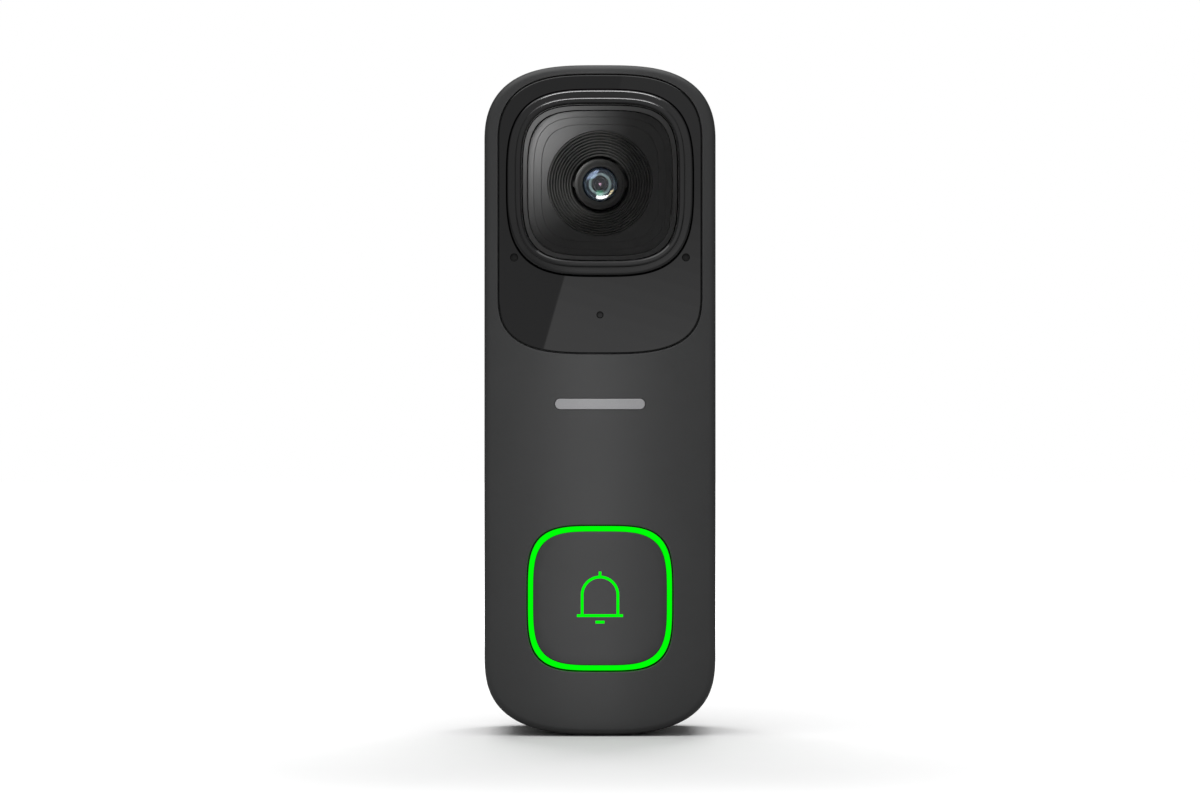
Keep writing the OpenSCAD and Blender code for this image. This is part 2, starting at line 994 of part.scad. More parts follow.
module camera_screws() {
    color(steel)
        at_lens()
            four(post_at, post_at) {
                y_rod(1.4, board_y + board_t, board_y + board_t + 1);
                y_rod(0.75, board_y - 4, board_y + board_t + 0.1);
            }
}

module night_leds() {
    color([0.05, 0.02, 0.04])
        at_lens()
            four(led_at, led_at) {
                y_rod(led_r, baffle_y + led_skin + 0.7, led_board_y);
                translate([0, baffle_y + led_skin + 1.2, 0])
                    sphere(r = 1.1, $fn = 48);
            }
}

module night_board() {
    color(board_green)
        at_lens()
            layer(led_board_y, led_board_y + 0.7)
                difference() {
                    squircle(13.5, window_pow);
                    circle(r = 9.9, $fn = 96);
                }
}

module mic_boots() {
    color(soft_black)
        for (s = [-1, 1])
            translate([s * mic_x, 0, mic_z])
                difference() {
                    y_rod(1.9, front_in_y, -20.4);
                    y_rod(mic_r, front_in_y - 1, -20);
                }
}

module microphones() {
    color(nickel)
        for (s = [-1, 1])
            translate([s * mic_x, 0, mic_z]) {
                difference() {
                    span([-1.8, -20.4, -1.6], [1.8, -19.9, 4.6]);
                    y_rod(0.5, -21, -19);
                }
                span([-1.4, -19.9, -1.2], [1.4, -18.9, 2.4]);
            }
}

module light_pipe() {
    color(white_plastic)
        translate([0, 0, sensor_z]) {
            y_rod(sensor_r - 0.05, panel_y + 0.35, front_in_y);
            y_rod(1.6, front_in_y, -19.6);
        }
}

module light_sensor() {
    color(chip_black)
        translate([0, 0, sensor_z]) {
            span([-1.3, -19.6, -1.3], [1.3, -18.8, 1.3]);
            span([-4, -18.8, -2.4], [4, -18.2, 2.4]);
        }
}

// ---------------------------------------------------------------- main board

module main_board() {
    color(board_green)
        layer(main_y, main_back_y)
            difference() {
                translate([0, (main_low_z + main_high_z) / 2])
                    soft_rect(main_half, (main_high_z - main_low_z) / 2, 2);
                for (p = main_screws)
                    translate(p)
                        circle(r = 1, $fn = 32);
                for (s = [-1, 1])
                    translate([s * low_screw[0], low_screw[1]])
                        circle(r = 2.8, $fn = 48);
            }
}

module shield_can() {
    color(nickel)
        difference() {
            span([-11, -12, 2], [11, main_y, 22]);
            span([-10.8, -11.8, 2.2], [10.8, main_y + 1, 21.8]);
            translate([6, 0, 7])
                y_rod(0.8, -13, -11);
            translate([-6, 0, 7])
                y_rod(0.8, -13, -11);
        }
}

module thermal_pad() {
    color(pad_blue)
        span([-7, -12.6, 6], [7, -12, 18]);
}

module heat_spreader() {
    color([0.70, 0.71, 0.72])
        difference() {
            span([-15, -13.6, 0], [15, -12.6, 26]);
            for (x = [-12, -8, -4, 0, 4, 8, 12])
                span([x - 0.8, -14, 20], [x + 0.8, -12, 24]);
        }
}

module board_parts() {
    color(chip_black) {
        for (b = board_blocks)
            span([b[0], main_y - b[4], b[2]], [b[1], main_y, b[3]]);
        // switch behind the reset button
        difference() {
            span([click_x, main_back_y, reset_z - click_half],
                [main_half - 0.1, rear_in_y - 0.15, reset_z + click_half]);
            span([stem_x - 0.7, reset_y - 2 * stem_r, reset_z - 2 * stem_r],
                [main_half + 1, reset_y + 2 * stem_r, reset_z + 2 * stem_r]);
        }
    }
}

module supercapacitors() {
    color([0.03, 0.05, 0.12])
        for (z = [-8, -16])
            translate([0, -12.9, z])
                difference() {
                    x_rod(3.2, -13, 13);
                    for (s = [-1, 1])
                        x_rod(2.6, s * 13 - 0.3, s * 13 + 0.3);
                }
}

module board_screws() {
    color(steel)
        for (p = main_screws)
            translate([p[0], 0, p[1]]) {
                y_rod(1.6, main_y - 1.1, main_y);
                y_rod(0.75, main_y - 0.1, rear_in_y + 0.2);
            }
}

module flex_cables() {
    color(film_amber) {
        // camera to main board
        span([-4, -11.9, 29.5], [4, -11.75, 36]);
        span([-4, -11.9, 29.35], [4, -11, 29.5]);
        // button board to main board
        span([-12.5, -15.9, -34.5], [-9.5, -15.75, -28]);
        span([-12.5, -15.9, -34.65], [-9.5, -11, -34.5]);
    }
}

module antenna() {
    color(film_amber)
        span([-20.9, -21.5, -14], [-20.5, -13.5, 14]);
    color(copper)
        for (z = [-11, -5, 1, 7])
            span([-20.5, -20.5, z], [-20.42, -14.5, z + 2]);
}

module terminal_posts() {
    color(brass)
        for (s = [-1, 1])
            translate([s * terminal_x, 0, terminal_z])
                difference() {
                    union() {
                        y_rod(2.25, rear_in_y - 0.4, recess_y);
                        y_rod(2.8, main_back_y, rear_in_y);
                    }
                    y_rod(1.25, -8.1, recess_y + 1);
                }
}

module terminal_washers() {
    color(brass)
        for (s = [-1, 1])
            translate([s * terminal_x, 0, terminal_z])
                layer(recess_y + 0.1, recess_y + 0.7)
                    difference() {
                        square(6, center = true);
                        circle(r = 1.4, $fn = 32);
                    }
}

module terminal_screws() {
    color(steel)
        for (s = [-1, 1])
            translate([s * terminal_x, 0, terminal_z])
                difference() {
                    union() {
                        y_rod(2.6, recess_y + 0.7, recess_y + 2.2);
                        y_rod(1.2, -7.9, recess_y + 0.8);
                    }
                    span([-3, recess_y + 1.5, -0.4], [3, 0, 0.4]);
                    span([-0.4, recess_y + 1.5, -1.8], [0.4, 0, 1.8]);
                }
}

// ---------------------------------------------------------------- speaker

module spk_layer(z_low, z_high) {
    translate([0, spk_y, z_low])
        linear_extrude(height = z_high - z_low)
            children();
}

module speaker_frame() {
    color(matte_black)
        difference() {
            spk_layer(spk_low_z, spk_high_z)
                racetrack(spk_half_x, spk_half_y);
            spk_layer(spk_low_z - 1, spk_low_z + 2.4)
                racetrack(spk_half_x - 0.8, spk_half_y - 0.8);
            spk_layer(spk_low_z + 2.3, spk_high_z + 1)
                racetrack(7.2, 3.6);
        }
}

module speaker_magnet() {
    color(steel)
        difference() {
            spk_layer(spk_high_z - 2.6, spk_high_z + 1.4)
                racetrack(7, 3.4);
            spk_layer(spk_high_z - 3, spk_high_z + 0.4)
                difference() {
                    racetrack(6.2, 2.6);
                    racetrack(4.8, 1.2);
                }
        }
}

module speaker_surround() {
    color(soft_black)
        spk_layer(spk_low_z + 0.6, spk_low_z + 0.9)
            difference() {
                racetrack(spk_half_x - 0.85, spk_half_y - 0.85);
                racetrack(spk_half_x - 2.2, spk_half_y - 2.2);
            }
}

module speaker_cone() {
    color(foam_grey) {
        spk_layer(spk_low_z + 0.6, spk_low_z + 1)
            racetrack(spk_half_x - 2.25, spk_half_y - 2.25);
        spk_layer(spk_low_z + 0.9, spk_high_z - 1.4)
            difference() {
                racetrack(5.8, 2.2);
                racetrack(5.4, 1.8);
            }
    }
}

module speaker_mesh() {
    color(chip_black)
        translate([0, spk_y, foot_z + shell_wall])
            linear_extrude(height = 0.15)
                racetrack(duct_half_x - 0.05, duct_half_y - 0.05);
}

// ---------------------------------------------------------------- button

module bell_lines() {
    centre = bell_top - bell_r;
    difference() {
        union() {
            translate([0, centre])
                circle(r = bell_r, $fn = 64);
            translate([-bell_r, bell_base])
                square([2 * bell_r, centre - bell_base]);
        }
        translate([0, centre])
            circle(r = bell_r - bell_line, $fn = 64);
        translate([-bell_r + bell_line, bell_base - 1])
            square([2 * (bell_r - bell_line), centre - bell_base + 1]);
    }
    translate([0, bell_base])
        square([2 * bell_base_half, bell_line], center = true);
    translate([0, bell_clapper])
        square([2 * bell_clapper_half, bell_line], center = true);
    translate([-bell_line / 2, bell_top - bell_line / 2])
        square([bell_line, bell_nub_top - bell_top + bell_line / 2]);
}

module button_cap() {
    color(satin_grey)
        at_button()
            difference() {
                layer(front_y, front_y + cap_t)
                    squircle(cap_half, button_pow);
                layer(front_y - 1, front_y + bell_depth)
                    bell_lines();
            }
}

module bell_icon() {
    color(lit_green)
        at_button()
            layer(front_y, front_y + bell_depth)
                bell_lines();
}

module light_ring() {
    color(lit_green)
        at_button()
            layer(front_y, front_y + ring_t)
                difference() {
                    squircle(ring_half, button_pow);
                    squircle(ring_in_half, button_pow);
                }
}

module button_carrier() {
    color(trim_black)
        at_button() {
            difference() {
                layer(carrier_front_y, carrier_front_y + carrier_t)
                    squircle(carrier_half, button_pow);
                for (s = [-1, 1]) {
                    translate([0, 0, s * 8])
                        layer(carrier_front_y - 1, carrier_front_y + carrier_t + 1)
                            soft_rect(7, 2, 1);
                    translate([s * 8, 0, 0])
                        layer(carrier_front_y - 1, carrier_front_y + carrier_t + 1)
                            soft_rect(2, 3.6, 1);
                }
            }
            // wall that carries the cap and the ring
            layer(front_y + ring_t, carrier_front_y + 0.1)
                difference() {
                    squircle(ring_half - 0.05, button_pow);
                    squircle(12.4, button_pow);
                }
            four(guide_at, guide_at)
                y_rod(guide_r, carrier_front_y, guide_end_y);
            y_rod(1.8, carrier_front_y, pusher_y);
        }
}

module button_board() {
    color(board_green)
        at_button()
            layer(switch_board_y, switch_board_y + 1)
                difference() {
                    union() {
                        translate([0, 6])
                            square([39, 17], center = true);
                        square([28.8, 29], center = true);
                    }
                    for (sx = [-1, 1], sz = [-1, 1])
                        translate([sx * guide_at, sz * guide_at])
                            circle(r = guide_r + 0.3, $fn = 48);
                    for (sx = [-1, 1], dz = board_post_z)
                        translate([sx * board_post_x, dz])
                            circle(r = 0.8, $fn = 32);
                }
    // eight light sources
    color(white_plastic)
        at_button()
            for (a = [0 : 45 : 315])
                rotate([0, a, 0])
                    span([7.2, switch_board_y - 0.8, -0.7], [8.8, switch_board_y, 0.7]);
}

module switch_body() {
    color(chip_black)
        at_button()
            difference() {
                span([-switch_half, switch_front_y, -switch_half],
                    [switch_half, switch_board_y, switch_half]);
                y_rod(plunger_r + 0.06, switch_front_y - 1, switch_board_y - 0.4);
            }
}

module switch_plunger() {
    color(white_plastic)
        at_button()
            y_rod(plunger_r, plunger_front_y, switch_board_y - 1.3);
}

// ---------------------------------------------------------------- service bay

module sd_socket() {
    color(nickel)
        difference() {
            span([1.4, card_y - 0.35, card_z - 7], [17.3, card_y + card_t + 0.35, card_z + 7]);
            span([3, card_y - card_fit, card_z - card_half_w - card_fit],
                [18, card_y + card_t + card_fit, card_z + card_half_w + card_fit]);
        }
}

module sd_card() {
    color(chip_black)
        difference() {
            span([card_end_x - card_len, card_y, card_z - card_half_w],
                [card_end_x, card_y + card_t, card_z + card_half_w]);
            // finger groove and keyed corner
            span([card_end_x - 0.9, card_y - 1, card_z - 4], [card_end_x - 0.5, card_y + 0.15, card_z + 4]);
            span([card_end_x - card_len - 1, card_y - 1, card_z + card_half_w - 1.4],
                [card_end_x - card_len + 6, card_y + 1, card_z + card_half_w + 1]);
        }
}

module reset_button() {
    color(white_plastic)
        translate([0, reset_y, reset_z]) {
            x_rod(reset_r, reset_back_x, bay_x + 0.6);
            x_rod(stem_r, stem_x, reset_back_x + 0.1);
        }
}

module service_flap() {
    color(soft_black)
        union() {
            span([flap_x[0], flap_front_y, -flap_half_z], [flap_x[1], bead_y, flap_half_z]);
            translate([bead_x, bead_y, -flap_half_z])
                cylinder(h = 2 * flap_half_z, r = bead_r, $fn = 64);
            span([flap_x[0] - 0.4, -8.6, 2], [flap_x[0] + 0.1, -7.2, 8]);
            // lip for a fingernail
            span([flap_x[1] - 0.5, flap_front_y - 0.2, -2.5], [flap_x[1], flap_front_y + 0.1, 2.5]);
        }
}

wall_bracket();
hinge_rod();
security_screw();
rear_housing();
front_shell();
housing_seal();
housing_screws();
badge_bar();
camera_panel();
adhesives();
lens_bezel();
bezel_trim();
window_glass();
window_seal();
lens_baffle();
lens_barrel();
front_lens();
inner_lenses();
lens_spacer();
lens_holder();
filter_frame();
filter_panes();
filter_coil();
image_sensor();
camera_board();
camera_screws();
night_leds();
night_board();
mic_boots();
microphones();
light_pipe();
light_sensor();
main_board();
shield_can();
thermal_pad();
heat_spreader();
board_parts();
supercapacitors();
board_screws();
flex_cables();
antenna();
terminal_posts();
terminal_screws();
terminal_washers();
speaker_frame();
speaker_magnet();
speaker_surround();
speaker_cone();
speaker_mesh();
button_cap();
light_ring();
bell_icon();
button_carrier();
button_board();
switch_body();
switch_plunger();
sd_socket();
sd_card();
reset_button();
service_flap();
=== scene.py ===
"""Video doorbell: shells, optics, button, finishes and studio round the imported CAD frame. In metres."""
import json
import math

import bmesh
import bpy
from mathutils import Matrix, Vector
from mathutils.geometry import delaunay_2d_cdt


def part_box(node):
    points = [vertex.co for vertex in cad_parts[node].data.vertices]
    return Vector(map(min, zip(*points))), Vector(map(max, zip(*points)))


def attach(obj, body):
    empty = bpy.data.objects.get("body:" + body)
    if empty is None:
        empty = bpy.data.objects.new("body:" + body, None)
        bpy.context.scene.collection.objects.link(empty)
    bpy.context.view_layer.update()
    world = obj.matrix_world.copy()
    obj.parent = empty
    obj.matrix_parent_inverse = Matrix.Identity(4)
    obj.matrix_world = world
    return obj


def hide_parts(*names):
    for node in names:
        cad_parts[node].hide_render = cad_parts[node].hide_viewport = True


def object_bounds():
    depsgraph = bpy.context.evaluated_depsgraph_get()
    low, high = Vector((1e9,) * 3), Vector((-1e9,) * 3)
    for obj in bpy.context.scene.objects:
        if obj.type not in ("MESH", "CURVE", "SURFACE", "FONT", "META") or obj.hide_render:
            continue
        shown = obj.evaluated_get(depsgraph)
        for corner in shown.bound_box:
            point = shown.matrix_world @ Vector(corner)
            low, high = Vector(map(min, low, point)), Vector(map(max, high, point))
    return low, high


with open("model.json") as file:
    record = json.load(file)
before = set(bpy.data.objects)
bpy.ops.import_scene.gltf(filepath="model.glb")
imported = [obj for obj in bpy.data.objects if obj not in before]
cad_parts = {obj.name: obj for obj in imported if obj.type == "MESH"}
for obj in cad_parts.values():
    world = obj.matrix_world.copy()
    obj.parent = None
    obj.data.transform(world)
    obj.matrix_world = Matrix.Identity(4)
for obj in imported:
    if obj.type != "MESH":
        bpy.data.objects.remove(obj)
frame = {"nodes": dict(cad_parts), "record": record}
CAD_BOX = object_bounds()
MM = 0.001

# ---------------------------------------------------------------- sizes read from the frame

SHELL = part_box("front_shell")
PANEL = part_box("camera_panel")
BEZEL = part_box("lens_bezel")
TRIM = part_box("bezel_trim")
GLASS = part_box("window_glass")
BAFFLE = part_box("lens_baffle")
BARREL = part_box("lens_barrel")
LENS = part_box("front_lens")
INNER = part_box("inner_lenses")
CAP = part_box("button_cap")
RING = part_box("light_ring")
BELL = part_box("bell_icon")
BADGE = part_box("badge_bar")


def centre(box):
    """Middle of a box."""
    return (Vector(box[0]) + Vector(box[1])) / 2


def half(box, axis=0):
    """Half of a box's size along an axis."""
    return (box[1][axis] - box[0][axis]) / 2


LENS_Z = centre(GLASS).z
BUTTON_Z = centre(CAP).z
FRONT_Y = SHELL[0][1]
FOOT_Z = SHELL[0][2]
HEAD_Z = SHELL[1][2]

# the casing's outline: straight sides closed by a superelliptic cap at each end
TOP_CAP, FOOT_CAP = 15.1 * MM, 17.0 * MM
TOP_POW, FOOT_POW = (3.15, 2.39), (2.68, 3.02)
WALL = 2.0 * MM
FRONT_WALL = 3.0 * MM
EDGE_R = 1.35 * MM
CROWN = 0.30 * MM

PANEL_GAP = 0.27 * MM
PANEL_TOP_INSET = 2.1 * MM
PANEL_LOW_CAP, PANEL_LOW_POW = 11.5 * MM, (3.3, 2.7)
BEZEL_POW, TRIM_POW, WINDOW_POW, BUTTON_POW = 3.2, 3.5, 3.7, 3.8
BEZEL_HOLE = 17.5 * MM
MIC_X, MIC_Z, MIC_R = 17.05 * MM, 28.3 * MM, 0.7 * MM
SENSOR_Z, SENSOR_R = 16.9 * MM, 0.6 * MM
BUTTON_HOLE = 14.62 * MM
GRILLE_R, GRILLE_PITCH, GRILLE_Y = 0.7 * MM, 2.1 * MM, -17.2 * MM
TRIM_GROOVE = 0.2 * MM
CONE_R, CONE_INNER_R, CONE_RIBS = 10.5 * MM, 5.7 * MM, 9
LENS_REACH = 4.0 * MM
BELL_LINE = 0.55 * MM

# camera square on to the front: the width of the picture at the front face sets its distance
CAMERA_LENS, CAMERA_SENSOR = 100, 36
FRAME_W = 238.2 * MM
CAMERA_Y = FRONT_Y - FRAME_W * CAMERA_LENS / CAMERA_SENSOR

# light levels
FRONT_LIGHT = 0.50
SIDE_LIGHT = 0.11
OVERHEAD = 2.0
FLOOR_WASH = 8.0
FLOOR_BOUNCE = 0.35
# painted light: radii between which the floor's own glow rises from none to full white
FLOOR_GLOW_FROM_R, FLOOR_GLOW_FULL_R = 90 * MM, 300 * MM
WINDOW_LIGHT = 90
SEAL_LIGHT = 8
FRONT_STRIP = 1.75
STRIP_LIGHT = 20.0
CARD_LIGHT = 0.62

# card mirrored by the gloss panel: two points on its slanted edge, and the heights between which it fades
EDGE_TOP = (4.4 * MM, 64.0 * MM)
EDGE_LOW = (-11.1 * MM, 10.5 * MM)
CARD_WIDE = 0.5
CARD_FADE = 0.84
CARD_BANDS = 10
CARD_LOW, FADE_LOW, FADE_TOP, CARD_TOP = -180 * MM, 17 * MM, 47 * MM, 250 * MM

# ---------------------------------------------------------------- outlines


def signed_pow(v, e):
    """Power of the magnitude, with the sign kept."""
    return math.copysign(abs(v) ** e, v)


def even_params(point, t0, t1, count):
    """Parameters from t0 to t1 whose points are evenly spaced along the curve."""
    fine = 2000
    ts = [t0 + (t1 - t0) * i / fine for i in range(fine + 1)]
    run = [0.0]
    last = point(t0)
    for t in ts[1:]:
        now = point(t)
        run.append(run[-1] + math.dist(last, now))
        last = now
    out, k = [], 0
    for i in range(count + 1):
        want = run[-1] * i / count
        while k < fine - 1 and run[k + 1] < want:
            k += 1
        gap = run[k + 1] - run[k] or 1
        out.append(ts[k] + (ts[k + 1] - ts[k]) * (want - run[k]) / gap)
    return out


def power_point(a, b, e, t):
    """Point at parameter t on a superellipse with half-axes a and b and exponents e."""
    return a * signed_pow(math.cos(t), 2 / e[0]), b * signed_pow(math.sin(t), 2 / e[1])


class Capsule:
    """Straight sides with a superelliptic cap at the head and the foot. ring() moves the outline in."""

    def __init__(self, half_w, head_z, head_cap, head_pow, foot_z, foot_cap, foot_pow, caps=120, sides=40):
        self.half, self.sides = half_w, sides
        self.head = (head_z - head_cap, head_cap, head_pow)
        self.foot = (foot_z + foot_cap, foot_cap, foot_pow)
        full = 2 * math.pi
        self.t_head = even_params(lambda t: power_point(half_w, head_cap, head_pow, t), 0, math.pi, caps)
        self.t_foot = even_params(lambda t: power_point(half_w, foot_cap, foot_pow, t), math.pi, full, caps)

    def ring(self, side=0.0, end=None):
        end = side if end is None else end
        a = self.half - side
        out = []
        for (zc, cap, e), ts, x, z_to in (
            (self.head, self.t_head, -a, self.foot[0]),
            (self.foot, self.t_foot, a, self.head[0]),
        ):
            for t in ts:
                px, pz = power_point(a, cap - end, e, t)
                out.append((px, zc + pz))
            for i in range(1, self.sides):
                out.append((x, zc + (z_to - zc) * i / self.sides))
        return out


class Squircle:
    """Square-round loop about (0, z). ring() moves it in."""

    def __init__(self, half_w, e, z, count=192):
        self.half, self.e, self.z = half_w, e, z
        self.ts = even_params(lambda t: power_point(half_w, half_w, (e, e), t), 0, 2 * math.pi, count)[:-1]

    def ring(self, inset=0.0):
        h = self.half - inset
        points = [power_point(h, h, (self.e, self.e), t) for t in self.ts]
        return [(x, self.z + z) for x, z in points]


def circle(r, x=0.0, z=0.0, count=96):
    """Round loop about (x, z)."""
    return [(x + r * math.cos(2 * math.pi * i / count), z + r * math.sin(2 * math.pi * i / count))
            for i in range(count)]


def pill(half_x, half_z, z=0.0, count=24):
    """Bar-shaped loop with round ends, about (0, z)."""
    run = half_x - half_z
    out = []
    for s in (1, -1):
        for i in range(count + 1):
            a = math.pi * (i / count - 0.5) + (0 if s > 0 else math.pi)
            out.append((s * run + half_z * math.cos(a), z + half_z * math.sin(a)))
    return out


# ---------------------------------------------------------------- mesh building


def inside(x, z, loops):
    """True if the point is inside an odd number of the loops."""
    hit = False
    for loop in loops:
        px, pz = loop[-1]
        for qx, qz in loop:
            if (qz > z) != (pz > z) and x < (px - qx) * (z - qz) / (pz - qz) + qx:
                hit = not hit
            px, pz = qx, qz
    return hit


class Shape:
    """Vertices and faces of one piece. Loops are drawn in X and Z; y is a depth or a function of x and z."""

    def __init__(self):
        self.verts, self.faces, self.flat = [], [], set()

    def ring(self, loop, y):
        """Adds the vertices of one loop and returns their numbers."""
        first = len(self.verts)
        for x, z in loop:
            self.verts.append((x, y(x, z) if callable(y) else y, z))
        return list(range(first, first + len(loop)))

    def bridge(self, a, b):
        """Quads between two rings of the same count."""
        n = len(a)
        for i in range(n):
            self.faces.append((a[i], a[(i + 1) % n], b[(i + 1) % n], b[i]))

    def skin(self, rings, closed=False):
        """Rings one after another, as (loop, y) pairs, joined by quads."""
        ids = [self.ring(loop, y) for loop, y in rings]
        for a, b in zip(ids, ids[1:] + (ids[:1] if closed else [])):
            self.bridge(a, b)
        return ids

    def fill(self, ids, y, spacing):
        """Triangles between nested loops of vertices, with inner points on the surface y."""
        loops = [[(self.verts[k][0], self.verts[k][2]) for k in loop] for loop in ids]
        flat = [p for loop in loops for p in loop]
        names = [k for loop in ids for k in loop]
        edges, start = [], 0
        for loop in loops:
            edges += [(start + i, start + (i + 1) % len(loop)) for i in range(len(loop))]
            start += len(loop)
        lo = [min(p[k] for p in flat) for k in (0, 1)]
        hi = [max(p[k] for p in flat) for k in (0, 1)]
        cell = 0.6 * spacing
        near = {(round(x / cell), round(z / cell)) for x, z in flat}
        extra = []
        rows = int((hi[1] - lo[1]) / spacing)
        cols = int((hi[0] - lo[0]) / spacing)
        for j in range(1, rows):
            for i in range(1, cols):
                x = lo[0] + (i + 0.5 * (j % 2)) * (hi[0] - lo[0]) / cols
                z = lo[1] + j * (hi[1] - lo[1]) / rows
                cx, cz = round(x / cell), round(z / cell)
                if any((cx + u, cz + v) in near for u in (-1, 0, 1) for v in (-1, 0, 1)):
                    continue
                if inside(x, z, loops):
                    extra.append((x, z))
        # the triangulation works in millimetres, where its rounding is far below a vertex gap
        pts, _, tris, source, _, _ = delaunay_2d_cdt(
            [Vector((x / MM, z / MM)) for x, z in flat + extra], edges, [], 0, 1e-5)
        place = []
        for p, src in zip(pts, source):
            outline_ids = [k for k in src if k < len(names)]
            if outline_ids:
                place.append(names[outline_ids[0]])
            else:
                x, z = p.x * MM, p.y * MM
                place.append(len(self.verts))
                self.verts.append((x, y(x, z) if callable(y) else y, z))
        for tri in tris:
            mx = sum(pts[k].x for k in tri) / 3 * MM
            mz = sum(pts[k].y for k in tri) / 3 * MM
            if inside(mx, mz, loops):
                if not callable(y):
                    self.flat.add(len(self.faces))
                self.faces.append(tuple(place[k] for k in tri))

    def lid(self, loop):
        """Closes a ring with one flat face."""
        self.flat.add(len(self.faces))
        self.faces.append(tuple(loop))

    def build(self, name, body, mats, stands_for=(), sharp=32.0):
        """Welds the shape into a closed mesh and makes it a piece of a body, in place of the CAD nodes it
        stands for.
        """
        mesh = bpy.data.meshes.new(name)
        bm = bmesh.new()
        made = [bm.verts.new(v) for v in self.verts]
        for k, f in enumerate(self.faces):
            try:
                bm.faces.new([made[v] for v in f]).smooth = k not in self.flat
            except ValueError:
                pass
        bmesh.ops.remove_doubles(bm, verts=bm.verts, dist=1e-7)
        bmesh.ops.delete(bm, geom=[v for v in bm.verts if not v.link_faces], context="VERTS")
        bmesh.ops.recalc_face_normals(bm, faces=bm.faces)
        bm.to_mesh(mesh)
        bm.free()
        return finish_piece(name, mesh, body, mats, stands_for, sharp)


def finish_piece(name, mesh, body, mats, stands_for=(), sharp=32.0):
    """Object of one piece: sharp edges by angle, flat faces kept flat, materials and body."""
    smooth = [p.use_smooth for p in mesh.polygons]
    mesh.set_sharp_from_angle(angle=math.radians(sharp))
    mesh.polygons.foreach_set("use_smooth", smooth)
    obj = bpy.data.objects.new(name, mesh)
    bpy.context.scene.collection.objects.link(obj)
    for m in mats if isinstance(mats, list) else [mats]:
        mesh.materials.append(m)
    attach(obj, body)
    if stands_for:
        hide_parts(*stands_for)
    return obj


def fillet(x0, y0, x1, y1, steps=5):
    """Quarter-round points from (x0, y0) to (x1, y1): it leaves along y and arrives along x."""
    out = []
    for i in range(steps + 1):
        a = math.pi / 2 * i / steps
        out.append((x0 + (x1 - x0) * (1 - math.cos(a)), y0 + (y1 - y0) * math.sin(a)))
    return out


def lathe(shape, profile, x, z, count=128, closed=True):
    """Profile of (radius, y) turned about the Y axis through (x, z)."""
    return shape.skin([(circle(r, x, z, count), y) for r, y in profile], closed)


def second_material(obj, chosen):
    """Gives the piece's second material to the faces whose centre passes the test."""
    for face in obj.data.polygons:
        if chosen(face.center):
            face.material_index = 1


# ---------------------------------------------------------------- materials


def surface(name, colour, rough, metal=0.0, grain=0.3 * MM, vary=0.10, rough_vary=0.06, bump=0.02, spec=0.5,
            ior=1.5, glow=None, glow_power=0.0):
    """Procedural finish: fine grain in colour, roughness and height, with a broad, faint unevenness."""
    mat = bpy.data.materials.new(name)
    mat.use_nodes = True
    nodes, links = mat.node_tree.nodes, mat.node_tree.links
    shader = nodes["Principled BSDF"]
    where = nodes.new("ShaderNodeTexCoord")
    fine = nodes.new("ShaderNodeTexNoise")
    fine.inputs["Scale"].default_value = 1 / grain
    fine.inputs["Detail"].default_value = 3
    broad = nodes.new("ShaderNodeTexNoise")
    broad.inputs["Scale"].default_value = 1 / (9 * MM)
    broad.inputs["Detail"].default_value = 2
    links.new(where.outputs["Object"], fine.inputs["Vector"])
    links.new(where.outputs["Object"], broad.inputs["Vector"])

    ramp = nodes.new("ShaderNodeValToRGB")
    ramp.color_ramp.elements[0].position = 0.3
    ramp.color_ramp.elements[1].position = 0.7
    ramp.color_ramp.elements[0].color = (*[c * (1 - vary) for c in colour], 1)
    ramp.color_ramp.elements[1].color = (*[min(1, c * (1 + vary)) for c in colour], 1)
    mixed = nodes.new("ShaderNodeMath")
    mixed.operation = "MULTIPLY_ADD"
    mixed.inputs[1].default_value = 0.6
    links.new(fine.outputs["Fac"], mixed.inputs[0])
    part = nodes.new("ShaderNodeMath")
    part.operation = "MULTIPLY"
    part.inputs[1].default_value = 0.4
    links.new(broad.outputs["Fac"], part.inputs[0])
    links.new(part.outputs[0], mixed.inputs[2])
    links.new(mixed.outputs[0], ramp.inputs["Fac"])
    links.new(ramp.outputs["Color"], shader.inputs["Base Color"])

    dull = nodes.new("ShaderNodeMapRange")
    dull.inputs["To Min"].default_value = max(0.0, rough - rough_vary)
    dull.inputs["To Max"].default_value = min(1.0, rough + rough_vary)
    dull.inputs["From Min"].default_value = 0.3
    dull.inputs["From Max"].default_value = 0.7
    links.new(mixed.outputs[0], dull.inputs["Value"])
    links.new(dull.outputs["Result"], shader.inputs["Roughness"])

    if bump:
        relief = nodes.new("ShaderNodeBump")
        relief.inputs["Strength"].default_value = bump
        relief.inputs["Distance"].default_value = 0.1 * MM
        links.new(fine.outputs["Fac"], relief.inputs["Height"])
        links.new(relief.outputs["Normal"], shader.inputs["Normal"])

    shader.inputs["Metallic"].default_value = metal
    shader.inputs["Specular IOR Level"].default_value = spec
    shader.inputs["IOR"].default_value = ior
    if glow:
        shader.inputs["Emission Color"].default_value = (*glow, 1)
        shader.inputs["Emission Strength"].default_value = glow_power
    return mat


